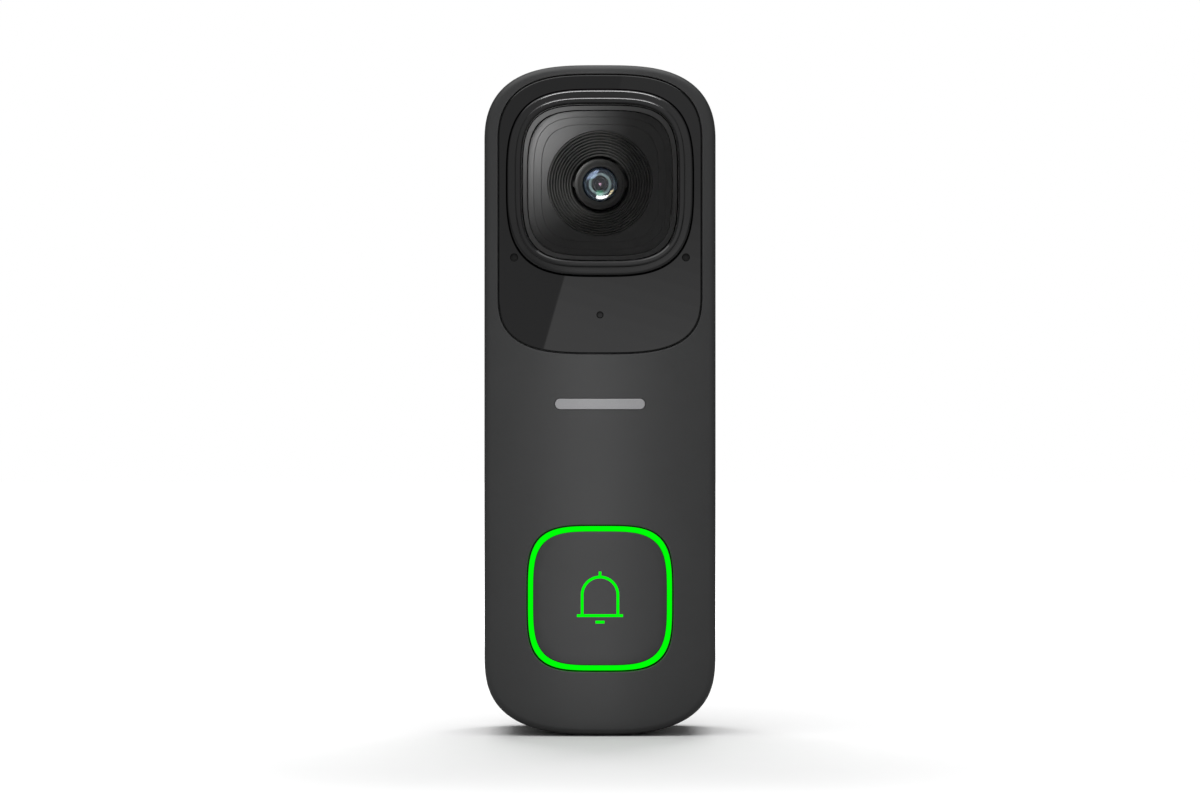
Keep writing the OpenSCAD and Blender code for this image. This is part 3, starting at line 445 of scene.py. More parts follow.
def window_glass_look(name, tint, ior):
    """Coated glass: clear when faced, with its Fresnel mirror rising toward grazing angles."""
    mat = bpy.data.materials.new(name)
    mat.use_nodes = True
    nodes, links = mat.node_tree.nodes, mat.node_tree.links
    nodes.remove(nodes["Principled BSDF"])
    where = nodes.new("ShaderNodeTexCoord")
    film = nodes.new("ShaderNodeTexNoise")
    film.inputs["Scale"].default_value = 1 / (6 * MM)
    links.new(where.outputs["Object"], film.inputs["Vector"])
    ramp = nodes.new("ShaderNodeValToRGB")
    ramp.color_ramp.elements[0].color = (*[c * 0.99 for c in tint], 1)
    ramp.color_ramp.elements[1].color = (*tint, 1)
    dull = nodes.new("ShaderNodeMapRange")
    dull.inputs["To Min"].default_value = 0.002
    dull.inputs["To Max"].default_value = 0.010
    links.new(film.outputs["Fac"], ramp.inputs["Fac"])
    links.new(film.outputs["Fac"], dull.inputs["Value"])
    fresnel = nodes.new("ShaderNodeFresnel")
    fresnel.inputs["IOR"].default_value = ior
    share = nodes.new("ShaderNodeMapRange")
    share.inputs["From Min"].default_value = 1.15 * ((ior - 1) / (ior + 1)) ** 2
    share.inputs["From Max"].default_value = 1.0
    clear = nodes.new("ShaderNodeBsdfTransparent")
    gloss = nodes.new("ShaderNodeBsdfGlossy")
    mix = nodes.new("ShaderNodeMixShader")
    links.new(ramp.outputs["Color"], clear.inputs["Color"])
    links.new(dull.outputs["Result"], gloss.inputs["Roughness"])
    links.new(fresnel.outputs["Fac"], share.inputs["Value"])
    links.new(share.outputs["Result"], mix.inputs["Fac"])
    links.new(clear.outputs[0], mix.inputs[1])
    links.new(gloss.outputs[0], mix.inputs[2])
    links.new(mix.outputs[0], nodes["Material Output"].inputs["Surface"])
    return mat


def lens_glass_look():
    """Coated lens: a dark, polished dome, with the retaining ring and the dark pupil that show through it."""
    mat = surface("coated_lens", (0.02, 0.02, 0.03), 0.07, rough_vary=0.01, bump=0.0, ior=1.6)
    nodes, links = mat.node_tree.nodes, mat.node_tree.links
    where = nodes.new("ShaderNodeTexCoord")
    shift = nodes.new("ShaderNodeVectorMath")
    shift.operation = "SUBTRACT"
    shift.inputs[1].default_value = (0, 0, LENS_Z)
    flat = nodes.new("ShaderNodeVectorMath")
    flat.operation = "MULTIPLY"
    flat.inputs[1].default_value = (1 / LENS_REACH, 0, 1 / LENS_REACH)
    away = nodes.new("ShaderNodeVectorMath")
    away.operation = "LENGTH"
    rings = nodes.new("ShaderNodeValToRGB")
    links.new(where.outputs["Object"], shift.inputs[0])
    links.new(shift.outputs[0], flat.inputs[0])
    links.new(flat.outputs[0], away.inputs[0])
    links.new(away.outputs["Value"], rings.inputs["Fac"])
    stops = rings.color_ramp.elements
    pupil, iris, ring = (0.010, 0.010, 0.012), (0.02, 0.02, 0.022), (0.115, 0.15, 0.15)
    glass, line, edge = (0.012, 0.016, 0.022), (0.035, 0.045, 0.05), (0.012, 0.014, 0.018)
    # colours by radius in millimetres
    steps = ((0.0, pupil), (1.25, iris), (1.65, pupil), (1.85, ring), (2.15, ring), (2.3, glass),
             (2.75, glass), (2.85, line), (2.95, glass), (3.5, edge))
    for k, (r, colour) in enumerate(steps):
        stop = stops[k] if k < 2 else stops.new(r * MM / LENS_REACH)
        stop.position = r * MM / LENS_REACH
        stop.color = (*colour, 1)
    links.new(rings.outputs["Color"], nodes["Principled BSDF"].inputs["Base Color"])
    return mat


# finishes that show from outside
casing = surface("casing_satin", (0.034, 0.0345, 0.035), 0.46, grain=0.16 * MM, vary=0.08, bump=0.08)
cap_satin = surface("cap_satin", (0.031, 0.0315, 0.032), 0.44, grain=0.16 * MM, vary=0.08, bump=0.06)
panel_black = surface("panel_gloss", (0.004, 0.004, 0.0045), 0.012, grain=2.5 * MM, rough_vary=0.004,
                      bump=0.0)
trim_black = surface("trim_satin", (0.004, 0.004, 0.0042), 0.14, grain=0.2 * MM, bump=0.02)
# behind the window: part of the plate's and funnel's grey is painted reflection, standing in for the window's
# face-on mirror, which is cut
matte_black = surface("baffle_matte_and_painted_reflection", (0.072, 0.072, 0.069), 0.55, grain=0.12 * MM, bump=0.02, spec=0.4)
plate_tone_and_painted_reflection = surface("plate_satin_and_painted_reflection", (0.075, 0.075, 0.075), 0.60, grain=0.15 * MM, bump=0.03, spec=0.3)
barrel_black = surface("barrel_black", (0.026, 0.026, 0.0245), 0.48, grain=0.2 * MM, bump=0.02)
window_clear = window_glass_look("window_clear", (0.96, 0.96, 0.96), 1.45)
coated_lens = lens_glass_look()
pupil_glass = surface("pupil_glass", (0.006, 0.006, 0.008), 0.02, rough_vary=0.01, bump=0.0, vary=0.04)
spacer_grey = surface("spacer_coated", (0.16, 0.20, 0.20), 0.35, grain=0.2 * MM, bump=0.02)
lit_green = surface("lit_green", (0.0, 0.05, 0.002), 0.6, vary=0.05, spec=0.0, glow=(0.0, 1.0, 0.0015),
                    glow_power=1.0)
badge_grey = surface("badge_satin", (0.34, 0.34, 0.35), 0.38, grain=0.15 * MM)
bracket_grey = surface("bracket_moulded", (0.075, 0.075, 0.08), 0.55, grain=0.35 * MM, bump=0.16)

# finishes of the frame's other slots
rubber = surface("soft_rubber", (0.016, 0.016, 0.017), 0.72, grain=0.25 * MM, bump=0.14, spec=0.3)
board_green = surface("board_mask", (0.01, 0.085, 0.04), 0.34, grain=0.5 * MM, bump=0.06)
steel = surface("plated_steel", (0.52, 0.52, 0.54), 0.30, metal=1.0, grain=0.2 * MM, bump=0.05)
nickel = surface("nickel_plate", (0.60, 0.58, 0.53), 0.26, metal=1.0, grain=0.25 * MM, bump=0.04)
brass = surface("turned_brass", (0.66, 0.48, 0.19), 0.28, metal=1.0, grain=0.2 * MM, bump=0.05)
alloy = surface("blasted_alloy", (0.66, 0.67, 0.69), 0.42, metal=1.0, grain=0.2 * MM, bump=0.10)
chip = surface("moulded_epoxy", (0.018, 0.018, 0.022), 0.55, grain=0.2 * MM, bump=0.10)
film = surface("amber_film", (0.42, 0.18, 0.03), 0.25, grain=0.6 * MM, bump=0.03)
pad_blue = surface("gap_pad", (0.18, 0.33, 0.44), 0.80, grain=0.3 * MM, bump=0.12)
copper = surface("enamelled_copper", (0.56, 0.24, 0.10), 0.30, metal=1.0, grain=0.2 * MM, bump=0.10)
milky = surface("milky_plastic", (0.70, 0.70, 0.68), 0.42, grain=0.3 * MM, bump=0.04)
paper = surface("pressed_cone", (0.05, 0.05, 0.05), 0.78, grain=0.25 * MM, bump=0.20)

# inside the ports: painted shade for their depth, as a dark gauze that is also the mesh's own colour, and a
# dark finish for the parts behind
port_gauze_and_shade = surface("port_gauze_and_shade", (0.032, 0.032, 0.032), 0.8, grain=0.08 * MM, vary=0.3, bump=0.1,
                     spec=0.2)
port_painted_shade = surface("port_painted_shade", (0.07, 0.07, 0.07), 0.75, grain=0.1 * MM, bump=0.05, spec=0.1)

SLOT_FINISH = {
    "casing": casing,
    "panel": panel_black,
    "trim": trim_black,
    "matte_black": matte_black,
    "bracket": bracket_grey,
    "window": window_clear,
    "lens": coated_lens,
    "board": board_green,
    "steel": steel,
    "nickel": nickel,
    "brass": brass,
    "alloy": alloy,
    "lit_green": lit_green,
    "badge": badge_grey,
    "soft_rubber": rubber,
    "paper_cone": paper,
    "chip": chip,
    "film": film,
    "pad": pad_blue,
    "copper": copper,
    "white_plastic": milky,
}

# nodes seen through the ports and the window, whose finish isn't their slot's; the parts in the ports take
# painted shade
NODE_FINISH = {
    "lens_spacer": spacer_grey,
    "window_seal": plate_tone_and_painted_reflection,
    "microphones": port_painted_shade,
    "mic_boots": port_painted_shade,
    "light_pipe": port_painted_shade,
    "light_sensor": port_painted_shade,
    "night_leds": port_painted_shade,
}


def finish_frame():
    """Gives every CAD node its procedural finish."""
    slots = {s["node"]: s["material_slot"] for s in frame["record"]["subparts"]}
    for name, obj in frame["nodes"].items():
        obj.data.materials.clear()
        obj.data.materials.append(NODE_FINISH.get(name) or SLOT_FINISH[slots[name]])


# ---------------------------------------------------------------- casing

BODY = Capsule(half(SHELL), HEAD_Z, TOP_CAP, TOP_POW, FOOT_Z, FOOT_CAP, FOOT_POW)
PANEL_LINE = Capsule(half(PANEL), PANEL[1][2], TOP_CAP - PANEL_TOP_INSET, TOP_POW,
                     PANEL[0][2], PANEL_LOW_CAP, PANEL_LOW_POW)


def crown(x, z):
    """Depth of the casing's front skin, gently crowned from side to side."""
    return FRONT_Y + CROWN * (x / BODY.half) ** 2


def drill_speaker_holes(shell):
    """Three rows of small holes through the foot, below the loudspeaker."""
    bm = bmesh.new()
    for row in range(3):
        for column in range(-3, 4):
            made = bmesh.ops.create_cone(bm, segments=20, radius1=GRILLE_R, radius2=GRILLE_R, depth=8 * MM,
                                         cap_ends=True)
            at = (column * GRILLE_PITCH, GRILLE_Y + row * GRILLE_PITCH, FOOT_Z + 1 * MM)
            bmesh.ops.translate(bm, verts=made["verts"], vec=at)
    mesh = bpy.data.meshes.new("speaker_drills")
    bm.to_mesh(mesh)
    bm.free()
    drills = bpy.data.objects.new("speaker_drills", mesh)
    bpy.context.scene.collection.objects.link(drills)
    cut = shell.modifiers.new("holes", "BOOLEAN")
    cut.operation = "DIFFERENCE"
    cut.solver = "EXACT"
    cut.object = drills
    drilled = bpy.data.meshes.new_from_object(shell.evaluated_get(bpy.context.evaluated_depsgraph_get()))
    shell.modifiers.clear()
    shell.data = drilled
    bpy.data.objects.remove(drills)


def front_shell():
    """Crowned front casing, with the pocket for the panel, the well of the button and the seat of the bar."""
    s = Shape()
    back = SHELL[1][1]
    chamfer = 0.2 * MM
    rings = [(BODY.ring(chamfer), back), (BODY.ring(), back - chamfer)]
    for k in range(9):
        a = math.pi / 2 * k / 8
        inset = EDGE_R * (1 - math.cos(a))
        drop = EDGE_R * (1 - math.sin(a))
        rings.append((BODY.ring(inset), lambda x, z, d=drop: crown(x, z) + d))
    rear = [(BODY.ring(WALL), back), (BODY.ring(WALL), FRONT_Y + FRONT_WALL)]
    ids = s.skin(rings)
    front_edge = ids[-1]
    inner = s.skin(rear)
    s.bridge(ids[0], inner[0])

    def opening(loops, depths):
        """Rings down into an opening: the first one lies on the skin. Returns the first and last ring."""
        made = [s.ring(loop, y) for loop, y in zip(loops, depths)]
        for a, b in zip(made, made[1:]):
            s.bridge(a, b)
        return made[0], made[-1]

    lip = 0.15 * MM
    floor_y = PANEL[1][1] + 0.2 * MM
    inner_y = FRONT_Y + FRONT_WALL

    def lip_rings(grow):
        return [(grow(lip), crown), (grow(lip * 0.3), lambda x, z: crown(x, z) + lip * 0.3),
                (grow(0), lambda x, z: crown(x, z) + lip)]

    pocket = lip_rings(lambda g: PANEL_LINE.ring(-PANEL_GAP - g)) + [(PANEL_LINE.ring(-PANEL_GAP), floor_y)]
    pocket_top, pocket_floor = opening(*zip(*pocket))
    hole = Squircle(BUTTON_HOLE, BUTTON_POW, BUTTON_Z)
    well = lip_rings(lambda g: hole.ring(-g)) + [(hole.ring(), inner_y)]
    well_top, well_end = opening(*zip(*well))
    seat = [(pill(half(BADGE) + 0.12 * MM, half(BADGE, 2) + 0.12 * MM, centre(BADGE).z), crown),
            (pill(half(BADGE) + 0.04 * MM, half(BADGE, 2) + 0.04 * MM, centre(BADGE).z), BADGE[1][1])]
    seat_top, seat_floor = opening(*zip(*seat))
    s.lid(seat_floor)
    s.fill([front_edge, pocket_top, well_top, seat_top], crown, 1.6 * MM)

    # pocket floor with the bezel's opening and the ports, down to the inner face
    holes = [Squircle(BEZEL_HOLE, BEZEL_POW, LENS_Z).ring()]
    holes += [circle(MIC_R, side * MIC_X, MIC_Z, 32) for side in (-1, 1)]
    holes += [circle(SENSOR_R + 0.2 * MM, 0, SENSOR_Z, 32)]
    tops, ends = zip(*[opening([h, h], [floor_y, inner_y]) for h in holes])
    s.fill([pocket_floor, *tops], floor_y, 3 * MM)
    s.fill([inner[1], well_end, *ends], inner_y, 4 * MM)
    obj = s.build("front_shell_skin", "housing", casing, ["front_shell"], sharp=20)
    drill_speaker_holes(obj)
    return obj


def camera_panel():
    """Gloss panel with three ports and the opening for the bezel."""
    s = Shape()
    y0, y1 = PANEL[0][1], PANEL[1][1]
    soft = 0.16 * MM
    rings = [(PANEL_LINE.ring(soft), y0), (PANEL_LINE.ring(soft * 0.3), y0 + soft * 0.3),
             (PANEL_LINE.ring(), y0 + soft), (PANEL_LINE.ring(), y1)]
    ids = s.skin(rings)
    # a shadow groove runs round the bezel's foot
    foot = Squircle(half(BEZEL), BEZEL_POW, LENS_Z)
    hole = Squircle(BEZEL_HOLE, BEZEL_POW, LENS_Z, len(foot.ts)).ring()
    groove = 0.30 * MM
    groove_floor = y0 + 1.6 * groove
    opening = s.skin([(foot.ring(-groove), y0), (foot.ring(), groove_floor), (hole, groove_floor),
                      (hole, y1)])
    tops = [opening[0]]
    # each port is closed a little way in by a dark gauze, whose dark also paints the shade of the port's
    # depth
    gauze_y = y0 + 0.45 * MM
    for x, z, r in ((-MIC_X, MIC_Z, MIC_R), (MIC_X, MIC_Z, MIC_R), (0, SENSOR_Z, SENSOR_R)):
        made = lathe(s, [(r + 0.1 * MM, y0), (r, y0 + 0.1 * MM), (r, gauze_y)], x, z, 48, closed=False)
        tops.append(made[0])
        s.lid(made[-1])
    s.fill([ids[0], *tops], y0, 3 * MM)
    s.fill([ids[-1], opening[-1]], y1, 3 * MM)
    obj = s.build("camera_panel_gloss", "housing", [panel_black, port_gauze_and_shade], ["camera_panel"],
                  sharp=50)
    second_material(obj, lambda at: abs(at.y - gauze_y) < 1e-6)
    return obj


def badge_bar():
    """Plain pill-shaped bar."""
    s = Shape()
    y0, y1 = BADGE[0][1], BADGE[1][1]
    hx, hz, z = half(BADGE), half(BADGE, 2), centre(BADGE).z
    soft = 0.12 * MM
    rings = [(pill(hx, hz, z), y1), (pill(hx, hz, z), y0 + soft)]
    for inset, y in fillet(0, y0 + soft, soft, y0, 3)[1:]:
        rings.append((pill(hx - inset, hz - inset, z), y))
    ids = s.skin(rings)
    s.lid(ids[0])
    s.lid(ids[-1])
    return s.build("badge_pill", "housing", badge_grey, ["badge_bar"], sharp=50)


# ---------------------------------------------------------------- bezel, glass and optics


def profile_rings(family, points):
    """(half-width, y) points round a square-round family, as rings for skin()."""
    return [(family.ring(family.half - h), y) for h, y in points]


def lens_bezel():
    """Terraced ring round the window, with the trim's seat, the glass's shelf and four screw bosses."""
    s = Shape()
    back, lip = BEZEL[1][1], BEZEL[0][1]
    wide = half(BEZEL)
    outer = Squircle(wide, BEZEL_POW, LENS_Z)
    window = Squircle(half(GLASS) + 0.15 * MM, WINDOW_POW, LENS_Z)
    rear_y = -21.5 * MM
    seat_y = PANEL[0][1] - 0.1 * MM
    body = 17.2 * MM
    soft = 0.45 * MM
    points = [(body, rear_y), (body, seat_y), (wide, seat_y), (wide, lip + soft)]
    points += [(wide - dx, y) for dx, y in fillet(0, lip + soft, soft, lip, 6)[1:]]
    trim_seat = lip + 0.35 * MM
    points += [(half(TRIM) + TRIM_GROOVE, lip), (half(TRIM) + TRIM_GROOVE, trim_seat),
               (half(TRIM) - TRIM_GROOVE, trim_seat)]
    rings = profile_rings(outer, points)
    shelf = GLASS[1][1] + 0.2 * MM
    plate_back = BAFFLE[0][1] + 1.0 * MM
    inner = [(window.half + 0.5 * MM, trim_seat), (window.half, trim_seat), (window.half, shelf),
             (14.5 * MM, shelf), (14.5 * MM, plate_back), (13.8 * MM, plate_back), (13.8 * MM, rear_y)]
    rings += profile_rings(window, inner)
    s.skin(rings, closed=True)
    boss_at, boss_r, bore_r = 12.5 * MM, 1.4 * MM, 0.8 * MM
    for sx in (-1, 1):
        for sz in (-1, 1):
            at = (sx * boss_at, LENS_Z + sz * boss_at)
            lathe(s, [(boss_r, rear_y), (boss_r, back), (bore_r, back), (bore_r, rear_y)], *at, 32)
    obj = s.build("lens_bezel_terrace", "housing", [trim_black, plate_tone_and_painted_reflection], ["lens_bezel"],
                  sharp=35)
    second_material(obj, lambda at: abs(at.y - shelf) < 1e-6)
    return obj


def bezel_trim():
    """Rounded ring between the bezel and the glass."""
    s = Shape()
    top, low = TRIM[0][1], TRIM[1][1]
    wide = half(TRIM)
    outer = Squircle(wide, TRIM_POW, LENS_Z)
    window = Squircle(half(GLASS) + 0.15 * MM, WINDOW_POW, LENS_Z)
    soft = 0.32 * MM
    points = [(wide, low), (wide, top + soft)]
    points += [(wide - dx, y) for dx, y in fillet(0, top + soft, soft, top, 5)[1:]]
    rings = profile_rings(outer, points)
    inner = [(window.half + 0.25 * MM, top), (window.half, top + 0.25 * MM), (window.half, low)]
    rings += profile_rings(window, inner)
    s.skin(rings, closed=True)
    return s.build("bezel_trim_ring", "housing", trim_black, ["bezel_trim"], sharp=35)


def window_glass():
    """Domed window: its outline goes from square-round at the edge to round at the middle."""
    s = Shape()
    apex = GLASS[0][1]
    back = GLASS[1][1] - 0.04 * MM  # a hair off the seal, so that the two faces don't lie in one plane
    wide = half(GLASS)
    edge_y = TRIM[0][1] + 0.4 * MM
    steps = 22
    base = Squircle(wide, WINDOW_POW, LENS_Z)
    rings = [(base.ring(0.2 * MM), back), (base.ring(), back - 0.2 * MM)]
    for k in range(steps):
        f = k / steps
        shrink = math.sin(math.pi / 2 * f) * 0.985
        e = WINDOW_POW - (WINDOW_POW - 2.0) * shrink ** 1.5
        points = [power_point(wide * (1 - shrink), wide * (1 - shrink), (e, e), t) for t in base.ts]
        loop = [(x, LENS_Z + z) for x, z in points]
        rise = (edge_y - apex) * (1 - (1 - shrink) ** 2.2)
        rings.append((loop, edge_y - rise))
    ids = s.skin(rings)
    s.lid(ids[-1])
    s.fill([ids[0]], back, 4 * MM)
    return s.build("window_dome", "housing", window_clear, ["window_glass"], sharp=60)


def lens_baffle():
    """Plate behind the window, stepped at its border, with a ribbed funnel that falls back to the lens."""
    s = Shape()
    y0 = BAFFLE[0][1]
    plate_back = y0 + 1.0 * MM
    outer = Squircle(half(BAFFLE), WINDOW_POW, LENS_Z)
    front, deep = y0 + 0.3 * MM, BAFFLE[1][1] - 0.25 * MM
    steps = [(half(BAFFLE), plate_back), (half(BAFFLE), y0 + 0.05 * MM), (half(BAFFLE) - 0.05 * MM, y0),
             (13.2 * MM, y0), (13.16 * MM, y0 + 0.15 * MM), (11.7 * MM, y0 + 0.15 * MM),
             (11.66 * MM, y0 + 0.3 * MM)]
    ids = s.skin(profile_rings(outer, steps))
    plate_top, plate_rim = ids[-1], ids[0]
    run, fall = (CONE_R - CONE_INNER_R) / CONE_RIBS, (deep - front) / CONE_RIBS
    profile = [(CONE_R, front)]
    for i in range(CONE_RIBS):
        r, y = CONE_R - run * i, front + fall * i
        profile.append((r - 0.02 * MM, y + fall * 0.95))
        # rounded crest of the rib, as shares of its run and its fall
        for across, down in ((0.12, 0.62), (0.34, 0.46), (0.62, 0.50), (0.86, 0.74), (1.0, 1.0)):
            profile.append((r - run * across, y + fall * down))
    tube = lathe(s, profile, 0, LENS_Z, 192, closed=False)
    rim_r = CONE_R + 0.45 * MM
    rear = [(CONE_INNER_R, deep + 0.25 * MM), (rim_r, front + 1.4 * MM), (rim_r, plate_back)]
    back = lathe(s, rear, 0, LENS_Z, 192, closed=False)
    s.bridge(tube[-1], back[0])
    s.fill([plate_top, tube[0]], y0 + 0.3 * MM, 2 * MM)
    s.fill([plate_rim, back[-1]], plate_back, 2 * MM)
    obj = s.build("baffle_ridged", "housing", [plate_tone_and_painted_reflection, matte_black], ["lens_baffle"],
                  sharp=40)
    second_material(obj, lambda at: math.hypot(at.x, at.z - LENS_Z) < CONE_R)
    return obj


def lens_barrel():
    """Barrel that holds the lenses."""
    s = Shape()
    y0 = BARREL[0][1]
    # (radius, depth behind the barrel's front) in millimetres
    profile = [(3.55, 0.0), (4.75, 0.0), (4.98, 0.08), (5.1, 0.25), (5.1, 5.6), (6.0, 5.6), (6.0, 6.8),
               (3.3, 6.8), (3.3, 3.3), (2.65, 3.3), (2.65, 1.4), (3.55, 1.4)]
    lathe(s, [(r * MM, y0 + d * MM) for r, d in profile], 0, LENS_Z, 160)
    # raised ring on the barrel's face, and the two key tabs
    face = [(3.56, 0.1), (4.2, -0.08), (4.5, -0.08), (4.6, 0.1)]
    lathe(s, [(r * MM, y0 + d * MM) for r, d in face], 0, LENS_Z, 160)
    corners = ((4.9, -0.6), (5.42, -0.5), (5.42, 0.5), (4.9, 0.6))
    for side in (-1, 1):
        tab = [(side * x * MM, LENS_Z + z * MM) for x, z in corners]
        ids = s.skin([(tab, y0 + 0.2 * MM), (tab, y0 + 1.2 * MM)])
        s.lid(ids[0])
        s.lid(ids[1])
    return s.build("lens_barrel_turned", "housing", barrel_black, ["lens_barrel"], sharp=35)


def front_lens():
    """Domed front element."""
    s = Shape()
    rim = half(LENS)
    apex, back = LENS[0][1], LENS[1][1]
    rim_y = apex + 0.95 * MM
    rings = [(circle(rim, 0, LENS_Z), back), (circle(rim, 0, LENS_Z), rim_y)]
    steps = 20
    for k in range(1, steps):
        a = math.pi / 2 * k / steps
        rings.append((circle(rim * math.cos(a), 0, LENS_Z), rim_y - (rim_y - apex) * math.sin(a)))
    ids = s.skin(rings)
    s.lid(ids[0])
    s.lid(ids[-1])
    return s.build("front_element", "housing", coated_lens, ["front_lens"], sharp=50)


def inner_elements():
    """Three convex elements behind the front one."""
    s = Shape()
    low = INNER[0][1]
    for r, y0, y1, bulge in ((2.6, 0.0, 0.7, 0.30), (3.2, 1.1, 2.2, 0.35), (3.2, 2.7, 3.8, 0.35)):
        front, back = low + y0 * MM, low + y1 * MM
        edge = front + bulge * MM
        profile = [(r * MM, back), (r * MM, edge)]
        for k in range(1, 14):
            a = math.pi / 2 * k / 14
            profile.append((r * MM * math.cos(a), edge - bulge * MM * math.sin(a)))
        ids = lathe(s, profile, 0, LENS_Z, 96, closed=False)
        s.lid(ids[0])
        s.lid(ids[-1])
    return s.build("inner_elements", "housing", pupil_glass, ["inner_lenses"], sharp=50)


# ---------------------------------------------------------------- button


def bell_loops():
    """Outer and inner line of the bell symbol, and its clapper bar, placed on the button."""
    low, high = BELL[0][2] - BUTTON_Z, BELL[1][2] - BUTTON_Z
    base_half, r = half(BELL), 3.82 * MM
    top, base, clap = 4.53 * MM, -3.41 * MM, low + BELL_LINE / 2
    mid, line = top - r, BELL_LINE
    arc = 40
    outer = [(-base_half, base - line / 2), (base_half, base - line / 2), (base_half, base + line / 2),
             (r, base + line / 2)]
    nub = math.asin(line / 2 / r)
    for i in range(arc + 1):
        a = (math.pi / 2 - nub) * i / arc
        outer.append((r * math.cos(a), mid + r * math.sin(a)))
    outer += [(line / 2, high), (-line / 2, high)]
    for i in range(arc + 1):
        a = math.pi / 2 + nub + (math.pi / 2 - nub) * i / arc
        outer.append((r * math.cos(a), mid + r * math.sin(a)))
    outer += [(-r, base + line / 2), (-base_half, base + line / 2)]
    inner = [(-(r - line), base + line / 2), (r - line, base + line / 2)]
    for i in range(2 * arc + 1):
        a = math.pi * i / (2 * arc)
        inner.append(((r - line) * math.cos(a), mid + (r - line) * math.sin(a)))
    half_clap = 0.9 * MM
    clapper = [(-half_clap, clap - line / 2), (half_clap, clap - line / 2), (half_clap, clap + line / 2),
               (-half_clap, clap + line / 2)]
    return [[(x, BUTTON_Z + z) for x, z in loop] for loop in (outer, inner, clapper)]


def button_face(x, z):
    """Depth of the button's face: a hair hollow, so that a finger finds its middle."""
    r2 = (x * x + (z - BUTTON_Z) ** 2) / half(CAP) ** 2
    return CAP[0][1] + 0.12 * MM * max(0.0, 1 - r2)


def button_cap():
    """Push face, grooved for the bell symbol."""
    s = Shape()
    y0, y1 = CAP[0][1], CAP[1][1]
    family = Squircle(half(CAP), BUTTON_POW, BUTTON_Z)
    soft = 0.22 * MM
    rings = [(family.ring(), y1), (family.ring(), y0 + soft)]
    rings += [(family.ring(dx), y) for dx, y in fillet(0, y0 + soft, soft, y0, 4)[1:]]
    ids = s.skin(rings)
    floor = y0 + 0.35 * MM
    grooves = [s.skin([(loop, button_face), (loop, floor)]) for loop in bell_loops()]
    s.fill([ids[-1], *[g[0] for g in grooves]], button_face, 1.0 * MM)
    s.fill([g[1] for g in grooves], floor, 1.0 * MM)
    s.fill([ids[0]], y1, 3 * MM)
    return s.build("button_cap_face", "bell_button", cap_satin, ["button_cap"], sharp=40)


def symbol_face(x, z):
    """Depth of the bell's face, a hair below the button's."""
    return button_face(x, z) + 0.01 * MM


def bell_icon():
    """Lit bell that fills the cap's grooves."""
    s = Shape()
    grooves = [s.skin([(loop, symbol_face), (loop, BELL[1][1])]) for loop in bell_loops()]
    s.fill([g[0] for g in grooves], symbol_face, 1.0 * MM)
    s.fill([g[1] for g in grooves], BELL[1][1], 1.0 * MM)
    return s.build("bell_symbol", "bell_button", lit_green, ["bell_icon"], sharp=40)


def light_ring():
    """Lit ring round the button's face."""
    s = Shape()
    y0, y1 = RING[0][1], RING[1][1]
    family = Squircle(half(RING), BUTTON_POW, BUTTON_Z)
    w, soft = 0.95 * MM, 0.25 * MM
    points = [(0, y1), (0, y0 + soft)] + fillet(0, y0 + soft, soft, y0, 4)[1:]
    points += [(w - soft, y0), (w - soft * 0.3, y0 + soft * 0.3), (w, y0 + soft), (w, y1)]
    s.skin([(family.ring(inset), y) for inset, y in points], closed=True)
    return s.build("light_ring_tube", "bell_button", lit_green, ["light_ring"], sharp=50)


# ---------------------------------------------------------------- studio


def world_light():
    """White behind the object for the camera. As light it is brighter in front than at the sides."""
    world = bpy.data.worlds.new("studio_world")
    bpy.context.scene.world = world
    world.use_nodes = True
    nodes, links = world.node_tree.nodes, world.node_tree.links
    back = nodes["Background"]
    back.inputs["Color"].default_value = (1, 1, 1, 1)
    where = nodes.new("ShaderNodeTexCoord")
    split = nodes.new("ShaderNodeSeparateXYZ")
    links.new(where.outputs["Generated"], split.inputs[0])
    # by the Y of the direction, which is -1 straight in front of the object
    ahead = nodes.new("ShaderNodeMapRange")
    ahead.interpolation_type = "SMOOTHSTEP"
    ahead.inputs["From Min"].default_value = 0.35
    ahead.inputs["From Max"].default_value = -0.95
    ahead.inputs["To Min"].default_value = SIDE_LIGHT
    ahead.inputs["To Max"].default_value = FRONT_LIGHT
    links.new(split.outputs["Y"], ahead.inputs["Value"])
    seen = nodes.new("ShaderNodeLightPath")
    pick = nodes.new("ShaderNodeMix")
    pick.inputs["B"].default_value = 1.0
    links.new(seen.outputs["Is Camera Ray"], pick.inputs["Factor"])
    links.new(ahead.outputs["Result"], pick.inputs["A"])
    links.new(pick.outputs["Result"], back.inputs["Strength"])


